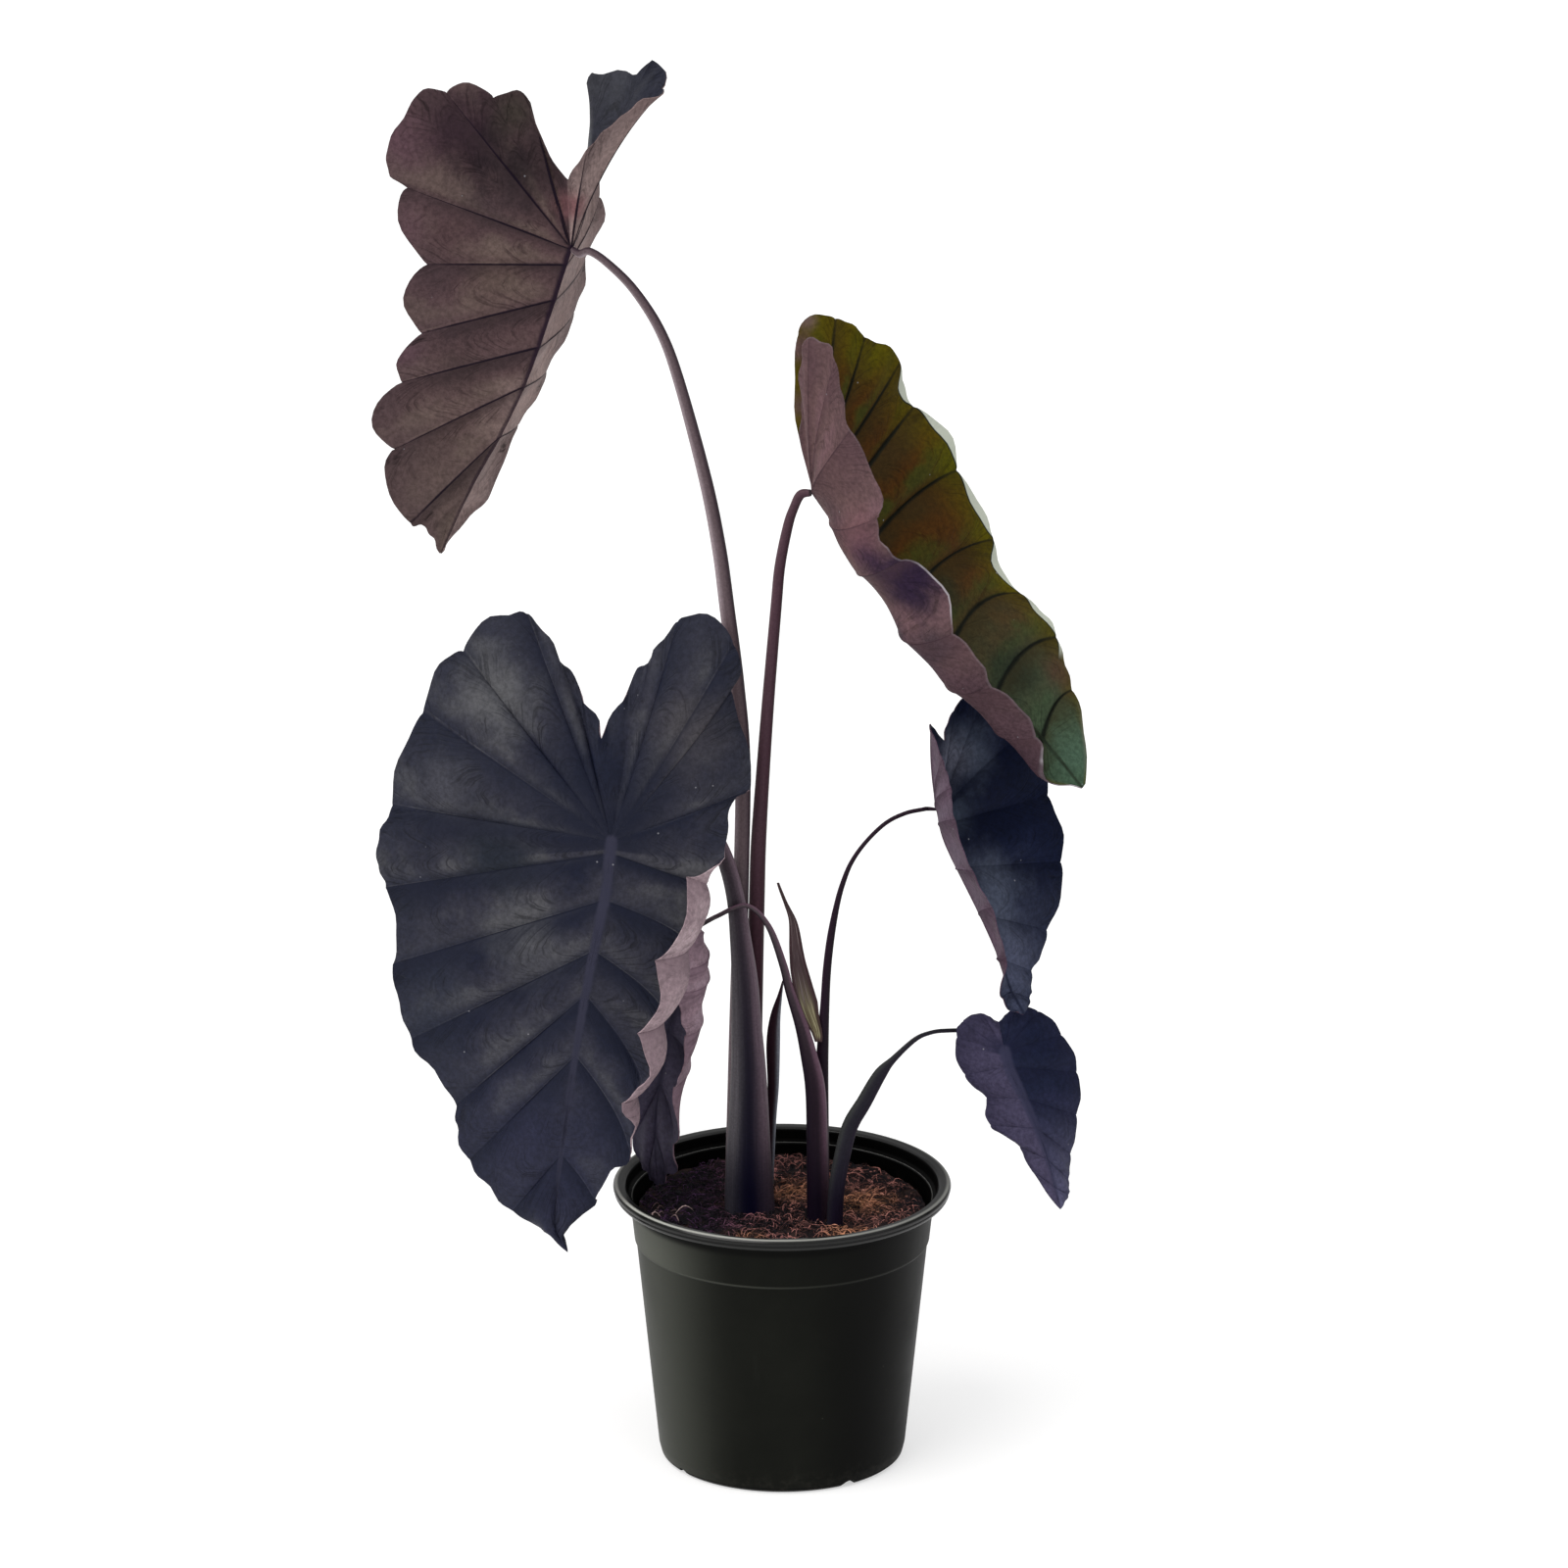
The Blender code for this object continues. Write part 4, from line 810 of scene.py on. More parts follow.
def pot_profile():
    """Half section of the pot, from the middle of its underside round to its inner floor."""
    lip_inner = RIM_RADIUS - LIP_WIDTH
    ledge = BAND_RADIUS - POT_WALL
    groove_outer = FOOT_RADIUS - FOOT_WIDTH
    floor = GROOVE_HEIGHT + POT_WALL
    return [
        (0.0, 0.0),
        (GROOVE_INNER, 0.0),
        (GROOVE_INNER + 1 * MM, GROOVE_HEIGHT),
        (groove_outer - 1 * MM, GROOVE_HEIGHT),
        (groove_outer, 0.0),
        (FOOT_RADIUS, 0.0),
        (FOOT_RADIUS + 2.2 * MM, 1.8 * MM),
        (wall_radius(7 * MM), 7 * MM),
        (wall_radius(BAND_BOTTOM - 1 * MM), BAND_BOTTOM - 1 * MM),
        (wall_radius(BAND_BOTTOM) + BAND_STEP, BAND_BOTTOM),
        (BAND_RADIUS, LIP_BOTTOM - 1.5 * MM),
        (BAND_RADIUS + 1.2 * MM, LIP_BOTTOM),
        (RIM_RADIUS - 4 * MM, LIP_BOTTOM + 0.4 * MM),
        (RIM_RADIUS - 1.4 * MM, LIP_BOTTOM + 1.6 * MM),
        (RIM_RADIUS - 0.6 * MM, LIP_BOTTOM + 3.2 * MM),
        (RIM_RADIUS - 1.0 * MM, POT_HEIGHT - 3.4 * MM),
        (RIM_RADIUS - 0.2 * MM, POT_HEIGHT - 2.8 * MM),
        (RIM_RADIUS, POT_HEIGHT - 1.6 * MM),
        (RIM_RADIUS - 0.9 * MM, POT_HEIGHT - 0.3 * MM),
        (RIM_RADIUS - 2.2 * MM, POT_HEIGHT),
        (lip_inner + 1.6 * MM, POT_HEIGHT - 0.4 * MM),
        (lip_inner, POT_HEIGHT - 1.8 * MM),
        (lip_inner - 0.8 * MM, LIP_BOTTOM + 1.2 * MM),
        (ledge, LIP_BOTTOM),
        (wall_radius(BAND_BOTTOM) + BAND_STEP - POT_WALL, BAND_BOTTOM),
        (wall_radius(BAND_BOTTOM) - POT_WALL, BAND_BOTTOM - 2 * MM),
        (wall_radius(8 * MM) - POT_WALL, 8 * MM),
        (FOOT_RADIUS, floor),
        (GROOVE_INNER - 1 * MM, floor),
        (GROOVE_INNER - 2 * MM, POT_WALL),
        (0.0, POT_WALL),
    ]


def drains_and_notches():
    """One mesh of the round drain holes and the notches in the foot, to cut from the pot."""
    shape = bmesh.new()
    middle = (GROOVE_INNER + FOOT_RADIUS - FOOT_WIDTH) / 2
    for index in range(DRAIN_COUNT):
        angle = 2 * math.pi * (index + 0.5) / DRAIN_COUNT
        made = bmesh.ops.create_cone(shape, cap_ends=True, segments=32, radius1=DRAIN_RADIUS,
                                     radius2=DRAIN_RADIUS, depth=6 * MM)
        place = Vector((middle * math.cos(angle), middle * math.sin(angle),
                        GROOVE_HEIGHT + 0.7 * MM))
        bmesh.ops.translate(shape, vec=place, verts=made["verts"])
    reach = FOOT_RADIUS - FOOT_WIDTH / 2 + 2 * MM
    length = FOOT_WIDTH + 8 * MM
    for index in range(NOTCH_COUNT):
        angle = NOTCH_TURN + 2 * math.pi * index / NOTCH_COUNT
        made = bmesh.ops.create_cone(shape, cap_ends=True, segments=24, radius1=0.5, radius2=0.5,
                                     depth=1.0)
        laid = Vector((0, 0, 1)).rotation_difference(Vector((1, 0, 0))).to_matrix()
        bmesh.ops.rotate(shape, cent=(0, 0, 0), verts=made["verts"], matrix=laid)
        bmesh.ops.scale(shape, vec=(length, NOTCH_WIDTH, 2 * NOTCH_HEIGHT), verts=made["verts"])
        turn = Vector((1, 0, 0)).rotation_difference(
            Vector((math.sin(angle), -math.cos(angle), 0))).to_matrix()
        bmesh.ops.rotate(shape, cent=(0, 0, 0), verts=made["verts"], matrix=turn)
        place = Vector((reach * math.sin(angle), -reach * math.cos(angle), 0.0))
        bmesh.ops.translate(shape, vec=place, verts=made["verts"])
    mesh = bpy.data.meshes.new("drains")
    shape.to_mesh(mesh)
    shape.free()
    return add_item("drains", mesh)


def make_pot(finish, shaded_inner_finish):
    """Fine turned nursery pot that stands for the plain one; its inside is a darker copy of the
    plastic, painted shade.
    """
    points = []
    rings = []
    for radius, height in rounded(pot_profile()):
        if radius <= 0.0:
            rings.append([len(points)])
            points.append((0.0, 0.0, height))
            continue
        first = len(points)
        rings.append(list(range(first, first + POT_SEGMENTS)))
        for segment in range(POT_SEGMENTS):
            angle = 2 * math.pi * segment / POT_SEGMENTS
            points.append((radius * math.cos(angle), radius * math.sin(angle), height))
    faces = []
    for low, high in zip(rings, rings[1:]):
        for segment in range(POT_SEGMENTS):
            after = (segment + 1) % POT_SEGMENTS
            if len(low) == 1:
                faces.append((low[0], high[after], high[segment]))
            elif len(high) == 1:
                faces.append((low[segment], low[after], high[0]))
            else:
                faces.append((low[segment], low[after], high[after], high[segment]))
    plain = add_mesh("plain_pot", points, faces, [finish], sharp_angle=50.0)
    cutter = drains_and_notches()
    difference = plain.modifiers.new("drains", "BOOLEAN")
    difference.operation = "DIFFERENCE"
    difference.object = cutter
    difference.solver = "EXACT"
    ready = plain.evaluated_get(bpy.context.evaluated_depsgraph_get())
    mesh = bpy.data.meshes.new_from_object(ready)
    mesh.name = "nursery_pot"
    item = add_item("nursery_pot", mesh)
    for spare in (plain, cutter):
        bpy.data.objects.remove(spare, do_unlink=True)
    mesh.shade_smooth()
    mesh.set_sharp_from_angle(angle=math.radians(40.0))
    mesh.materials.clear()
    mesh.materials.append(finish)
    mesh.materials.append(shaded_inner_finish)
    for face in mesh.polygons:
        radius = math.hypot(face.center.x, face.center.y)
        height = face.center.z
        in_lip = radius < RIM_RADIUS - LIP_WIDTH + 0.4 * MM and height > LIP_BOTTOM + 0.3 * MM
        in_wall = (radius < wall_radius(height) - 0.6 * MM
                   and 2 * MM < height < LIP_BOTTOM - 0.6 * MM)
        face.material_index = 1 if in_lip or in_wall else 0
    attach(item, "root")
    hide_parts("pot")


# Soil


def ground_height(x, y):
    """Height of the loose soil at a place inside the pot."""
    spot = Vector((x, y, 0.0))
    return sum((noise.noise(spot * scale) * height for scale, height in SOIL_SWELLS), SOIL_LEVEL)


def inside_the_pot(draw, margin=2.0 * MM):
    """Random place on the soil, evenly spread."""
    reach = (wall_radius(BAND_BOTTOM) - margin) * math.sqrt(draw.random())
    turn = draw.uniform(0.0, 2 * math.pi)
    return reach * math.cos(turn), reach * math.sin(turn)


def clear_of_stalks(x, y, margin):
    """Whether a place on the soil is outside every stalk's foot."""
    feet = [spec["foot"] for spec in STALKS.values()] + [DARK_SHEATH["foot"]]
    for foot_x, foot_y, half_width, half_depth in feet:
        across = (x / MM - foot_x) / (half_width + margin)
        deep = (y / MM - foot_y) / (half_depth + margin)
        if across ** 2 + deep ** 2 < 1.0:
            return False
    return True


def make_soil_top(finish):
    """Rough top layer of the potting mix."""
    rings = SOIL_RINGS
    sides = SOIL_SIDES
    top = wall_radius(BAND_BOTTOM) + BAND_STEP - POT_WALL - 0.8 * MM
    points = [(0.0, 0.0, ground_height(0.0, 0.0))]
    for ring in range(1, rings + 1):
        radius = top * ring / rings
        for side in range(sides):
            turn = 2 * math.pi * side / sides
            x, y = radius * math.cos(turn), radius * math.sin(turn)
            points.append((x, y, ground_height(x, y)))
    faces = [(0, 1 + side, 1 + (side + 1) % sides) for side in range(sides)]
    for ring in range(rings - 1):
        for side in range(sides):
            low = 1 + ring * sides + side
            low_next = 1 + ring * sides + (side + 1) % sides
            faces.append((low, low + sides, low_next + sides, low_next))
    item = add_mesh("soil_top", points, faces, [finish], sharp_angle=180.0)
    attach(item, "root")


def make_crumbs(finish):
    """Loose crumbs of bark and coir, each a small rough lump."""
    draw = random.Random(CRUMB_SEED)
    points = []
    faces = []
    shade = []
    for _ in range(CRUMB_COUNT):
        x, y = inside_the_pot(draw)
        if not clear_of_stalks(x, y, 0.6):
            continue
        size = draw.uniform(0.4, 1.5) * MM * (0.5 + 0.8 * draw.random() ** 2)
        centre = Vector((x, y, ground_height(x, y) + size * 0.3))
        shape = bmesh.new()
        bmesh.ops.create_icosphere(shape, subdivisions=1, radius=1.0)
        stretch = Vector((draw.uniform(0.6, 1.5), draw.uniform(0.6, 1.5), draw.uniform(0.4, 0.8)))
        turn = draw.uniform(0.0, 2 * math.pi)
        first = len(points)
        tone = draw.random()
        shape.verts.ensure_lookup_table()
        for vertex in shape.verts:
            rough = 1.0 + 0.35 * noise.noise(vertex.co * 1.7 + centre * 900)
            local = Vector((vertex.co.x * stretch.x, vertex.co.y * stretch.y,
                            vertex.co.z * stretch.z)) * rough * size
            points.append(centre + Vector((local.x * math.cos(turn) - local.y * math.sin(turn),
                                           local.x * math.sin(turn) + local.y * math.cos(turn),
                                           local.z)))
            shade.append(tone)
        faces += [tuple(first + vertex.index for vertex in face.verts) for face in shape.faces]
        shape.free()
    item = add_mesh("soil_crumbs", points, faces, [finish], sharp_angle=50.0)
    add_values(item, {"shade": shade})
    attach(item, "root")


def make_fibres(name, finish, count, seed, length, width, lift, near=None):
    """Curved fibres that lie on the soil, as thin square strands."""
    draw = random.Random(seed)
    points = []
    faces = []
    shade = []
    for _ in range(count):
        x, y = near(draw) if near else inside_the_pot(draw, 5 * MM)
        if not clear_of_stalks(x, y, 0.8):
            continue
        turn = draw.uniform(0.0, 2 * math.pi)
        bend = draw.uniform(-0.32, 0.32)
        step = draw.uniform(*length) * MM / FIBRE_JOINTS
        half = draw.uniform(*width) * MM / 2
        rise = draw.uniform(0.2, 1.0) * lift * MM
        tone = draw.random()
        first = len(points)
        for joint in range(FIBRE_JOINTS + 1):
            arch = math.sin(math.pi * joint / FIBRE_JOINTS) * rise
            centre = Vector((x, y, ground_height(x, y) + half + arch))
            side = Vector((-math.sin(turn), math.cos(turn), 0.0))
            thin = half * (1.0 - 0.7 * abs(2 * joint / FIBRE_JOINTS - 1) ** 3)
            for offset in (side, Vector((0, 0, 1)), -side, Vector((0, 0, -1))):
                points.append(centre + offset * thin)
                shade.append(tone)
            next_x = x + math.cos(turn) * step
            next_y = y + math.sin(turn) * step
            if math.hypot(next_x, next_y) < wall_radius(BAND_BOTTOM) - 3 * MM:
                x, y = next_x, next_y
            turn += bend + draw.uniform(-0.3, 0.3)
        faces += tube_walls(first, FIBRE_JOINTS + 1, 4)
    item = add_mesh(name, points, faces, [finish], sharp_angle=80.0)
    add_values(item, {"shade": shade})
    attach(item, "root")


def by_the_left_leaf(draw):
    """Random place on the soil near the tip of leaf d, where pale rootlets lie."""
    return (-63 + draw.uniform(-6, 12)) * MM, (-14 + draw.uniform(-14, 12)) * MM


def round_the_stalks(draw):
    """Random place on the soil close round the stalks."""
    turn = draw.uniform(0.0, 2 * math.pi)
    reach = draw.uniform(10, 40)
    return (3 + reach * math.cos(turn)) * MM, (-12 + 0.6 * reach * math.sin(turn)) * MM


# Shader building


class Wiring:
    """Places and joins the nodes of one material or of one shared effect."""

    def __init__(self, tree):
        self.tree = tree

    def node(self, kind, **settings):
        """Add a node and set its plain settings."""
        made = self.tree.nodes.new(kind)
        for name, value in settings.items():
            setattr(made, name, value)
        return made

    def feed(self, socket, value):
        """Join a socket to another, or give it a plain value."""
        if isinstance(value, bpy.types.NodeSocket):
            self.tree.links.new(value, socket)
        elif isinstance(value, tuple) and len(value) == 3 and len(socket.default_value) == 4:
            socket.default_value = (*value, 1.0)
        else:
            socket.default_value = value

    def feed_all(self, sockets, values):
        """Feed the first sockets with the values, in their order."""
        for socket, value in zip(sockets, values):
            self.feed(socket, value)

    def math(self, operation, first, second=0.0):
        """One sum of two numbers."""
        made = self.node("ShaderNodeMath", operation=operation)
        self.feed_all(made.inputs, (first, second))
        return made.outputs[0]

    def times(self, product, *factors):
        """Product of numbers."""
        for factor in factors:
            product = self.math("MULTIPLY", product, factor)
        return product

    def plus(self, first, second):
        """Sum of two numbers."""
        return self.math("ADD", first, second)

    def minus(self, first, second):
        """First number less the second."""
        return self.math("SUBTRACT", first, second)

    def over(self, first, second):
        """First number divided by the second."""
        return self.math("DIVIDE", first, second)

    def swing(self, value, size):
        """A value between 0 and 1 made to swing about 0, half the size to each side."""
        return self.times(self.minus(value, 0.5), size)

    def step(self, value, low, high, start=0.0, end=1.0):
        """Smooth step from one number to another as a value passes from low to high."""
        made = self.node("ShaderNodeMapRange", interpolation_type="SMOOTHSTEP")
        self.feed_all(made.inputs, (value, low, high, start, end))
        return made.outputs[0]

    def fade(self, value, low, high):
        """Smooth step from 1 down to 0 as a value passes from low to high."""
        return self.step(value, low, high, 1.0, 0.0)

    def mix(self, share, first, second, blend="MIX"):
        """Mix of two colours."""
        made = self.node("ShaderNodeMix", data_type="RGBA", blend_type=blend)
        self.feed(made.inputs[0], share)
        self.feed(made.inputs[6], first)
        self.feed(made.inputs[7], second)
        return made.outputs[2]

    def carried(self, name):
        """Number that the mesh carries on its points."""
        return self.node("ShaderNodeAttribute", attribute_name=name).outputs["Fac"]

    def place(self):
        """Place on the object, in metres."""
        return self.node("ShaderNodeTexCoord").outputs["Object"]

    def parts(self, vector):
        """The three numbers of a vector."""
        made = self.node("ShaderNodeSeparateXYZ")
        self.feed(made.inputs[0], vector)
        return made.outputs

    def point(self, x, y, z=0.0):
        """Vector of three numbers."""
        made = self.node("ShaderNodeCombineXYZ")
        self.feed_all(made.inputs, (x, y, z))
        return made.outputs[0]

    def noise(self, place, scale, detail=3.0, rough=0.55, stretch=None):
        """Noise between 0 and 1 at a scale, stretched along the axes if asked."""
        if stretch:
            mapping = self.node("ShaderNodeMapping")
            self.feed(mapping.inputs["Vector"], place)
            self.feed(mapping.inputs["Scale"], stretch)
            place = mapping.outputs["Vector"]
        made = self.node("ShaderNodeTexNoise")
        for name, value in (("Vector", place), ("Scale", scale), ("Detail", detail),
                            ("Roughness", rough)):
            self.feed(made.inputs[name], value)
        return made.outputs["Fac"]

    def use(self, tree, **values):
        """Place a shared effect; underscores in the names of its inputs stand for spaces."""
        made = self.node("ShaderNodeGroup", node_tree=tree)
        for name, value in values.items():
            self.feed(made.inputs[name.replace("_", " ")], value)
        return made.outputs


class Finish(Wiring):
    """One material. Its colour is laid on coat by coat, and done() feeds it to the shader."""

    def __init__(self, name):
        self.made = bpy.data.materials.new(name)
        self.made.use_nodes = True
        super().__init__(self.made.node_tree)
        self.shader = self.made.node_tree.nodes["Principled BSDF"]
        self.colour = None

    def lay(self, share, colour):
        """Lay a colour over what is there, by a share from 0 to 1."""
        self.colour = self.mix(share, self.colour, colour)

    def shade(self, factor):
        """Make what is there darker or lighter by a factor."""
        even = self.point(factor, factor, factor)
        self.colour = self.mix(1.0, self.colour, even, blend="MULTIPLY")

    def bump(self, height, depth, strength):
        """Raise the surface by a height between 0 and 1, of this depth in metres."""
        made = self.node("ShaderNodeBump")
        for name, value in (("Strength", strength), ("Distance", depth), ("Height", height)):
            self.feed(made.inputs[name], value)
        self.feed(self.shader.inputs["Normal"], made.outputs["Normal"])

    def done(self, rough, specular):
        """Feed the shader its colour and roughness; returns the material."""
        self.feed(self.shader.inputs["Base Color"], self.colour)
        self.feed(self.shader.inputs["Roughness"], rough)
        self.shader.inputs["Specular IOR Level"].default_value = specular
        return self.made


def shared_effect(name, inputs, outputs):
    """Empty shader node group with named inputs and their usual values, and named outputs.

    Returns the group, its wiring, the sockets it is given and the sockets of its result.
    """
    tree = bpy.data.node_groups.new(name, "ShaderNodeTree")
    for label, usual in inputs.items():
        kind = "NodeSocketVector" if isinstance(usual, tuple) else "NodeSocketFloat"
        tree.interface.new_socket(label, in_out="INPUT", socket_type=kind).default_value = usual
    for label in outputs:
        tree.interface.new_socket(label, in_out="OUTPUT", socket_type="NodeSocketFloat")
    wiring = Wiring(tree)
    given = wiring.node("NodeGroupInput").outputs
    result = wiring.node("NodeGroupOutput").inputs
    return tree, wiring, given, result


def vein_effect():
    """Mask of a vein's line, one of the midrib's, and a soft shade that falls below each vein."""
    tree, wiring, given, result = shared_effect(
        "Vein Lines", {"Off Vein": 1.0, "Off Midrib": 1.0, "Reach": 0.0, "Strength": 1.0,
                       "Fall": 0.5, "Vein Width": 1.0, "Midrib Width": 1.0},
        ("Line", "Midrib", "Shade"))
    place = wiring.place()
    waver = wiring.swing(wiring.noise(place, 90.0), 0.7)
    off_vein = wiring.plus(wiring.over(given["Off Vein"], given["Vein Width"]), waver)
    off_midrib = wiring.over(wiring.plus(given["Off Midrib"], waver), given["Midrib Width"])
    thinned = wiring.step(given["Reach"], 0.75, 1.0, 1.0, 0.55)
    wiring.feed(result["Line"],
                wiring.times(wiring.fade(off_vein, 0.2, 0.95), thinned, given["Strength"]))
    wiring.feed(result["Midrib"], wiring.fade(off_midrib, 0.5, 1.15))
    below = wiring.plus(given["Fall"], wiring.swing(wiring.noise(place, 38.0, 5.0, 0.6), 0.8))
    wiring.feed(result["Shade"], wiring.times(wiring.fade(below, 0.04, 0.46), given["Strength"]))
    return tree


def feather_effect():
    """Fine side veins that sweep outwards from one vein to the next, and puckers at the margin."""
    tree, wiring, given, result = shared_effect(
        "Feathered Veins", {"Sweep": 0.0, "Row": 0.0, "Inset": 20.0, "Spacing": 2.4},
        ("Lines", "Puckers", "Crepe"))
    place = wiring.place()
    drift = wiring.noise(place, 45.0, 3.0)
    run = wiring.plus(wiring.over(given["Sweep"], given["Spacing"]), wiring.swing(drift, 6.0))
    strands = wiring.noise(wiring.point(run, wiring.times(given["Row"], 0.8)), 1.0, 2.0, 0.6)
    patchy = wiring.step(wiring.noise(place, 48.0, 4.0), 0.42, 0.60, 0.12, 1.0)
    wiring.feed(result["Lines"], wiring.times(wiring.step(strands, 0.48, 0.66), patchy))
    ray = wiring.plus(wiring.times(given["Row"], 7.0), wiring.swing(drift, 2.5))
    depth = wiring.times(given["Inset"], 0.09)
    crease = wiring.step(wiring.noise(wiring.point(ray, depth), 1.0, 2.0), 0.5, 0.72)
    wiring.feed(result["Puckers"], wiring.times(crease, wiring.fade(given["Inset"], 3.0, 24.0)))
    wiring.feed(result["Crepe"], wiring.noise(place, 420.0, 4.0, 0.65))
    return tree


def mottle_effect():
    """Slow and quick mottling of a surface, and a few grains of dust."""
    tree, wiring, given, result = shared_effect(
        "Mottling", {"Scale": 30.0, "Contrast": 1.0}, ("Cloud", "Speck", "Dust"))
    place = wiring.place()
    scaled = wiring.node("ShaderNodeVectorMath", operation="SCALE")
    wiring.feed(scaled.inputs[0], place)
    wiring.feed(scaled.inputs["Scale"], given["Scale"])
    cloud = wiring.noise(scaled.outputs[0], 1.0, 4.0, 0.6)
    wiring.feed(result["Cloud"], wiring.plus(wiring.swing(cloud, given["Contrast"]), 0.5))
    wiring.feed(result["Speck"], wiring.noise(scaled.outputs[0], 14.0, 3.0, 0.7))
    grains = wiring.node("ShaderNodeTexVoronoi")
    wiring.feed(grains.inputs["Vector"], place)
    wiring.feed(grains.inputs["Scale"], 75.0)
    wiring.feed(result["Dust"], wiring.fade(grains.outputs["Distance"], 0.02, 0.045))
    return tree


def spot_effect():
    """Mask of a soft spot with a ragged edge, round a place on the surface."""
    tree, wiring, given, result = shared_effect(
        "Soft Spot", {"Centre": (0.0, 0.0, 0.0), "Size": 0.02}, ("Mask",))
    place = wiring.place()
    gap = wiring.node("ShaderNodeVectorMath", operation="DISTANCE")
    wiring.feed_all(gap.inputs, (place, given["Centre"]))
    far = wiring.over(gap.outputs["Value"], given["Size"])
    far = wiring.plus(far, wiring.swing(wiring.noise(place, 45.0, 4.0, 0.6), 1.3))
    wiring.feed(result["Mask"], wiring.fade(far, -0.05, 1.15))
    return tree


def streak_effect():
    """Long fine streaks that run along a stalk or a sheath, and finer threads."""
    tree, wiring, given, result = shared_effect(
        "Long Streaks", {"Around": 0.0, "Along": 0.0, "Fineness": 6.0}, ("Streak", "Thread"))
    wide = wiring.times(given["Around"], given["Fineness"])
    slow = wiring.times(given["Along"], 0.012)
    wiring.feed(result["Streak"], wiring.noise(wiring.point(wide, slow), 1.0, 3.0, 0.6))
    narrow = wiring.times(wide, 5.0)
    slower = wiring.times(given["Along"], 0.03)
    wiring.feed(result["Thread"], wiring.noise(wiring.point(narrow, slower), 1.0, 2.0, 0.5))
    return tree


VEINS = vein_effect()
FEATHER = feather_effect()
MOTTLE = mottle_effect()
SPOT = spot_effect()
STREAKS = streak_effect()
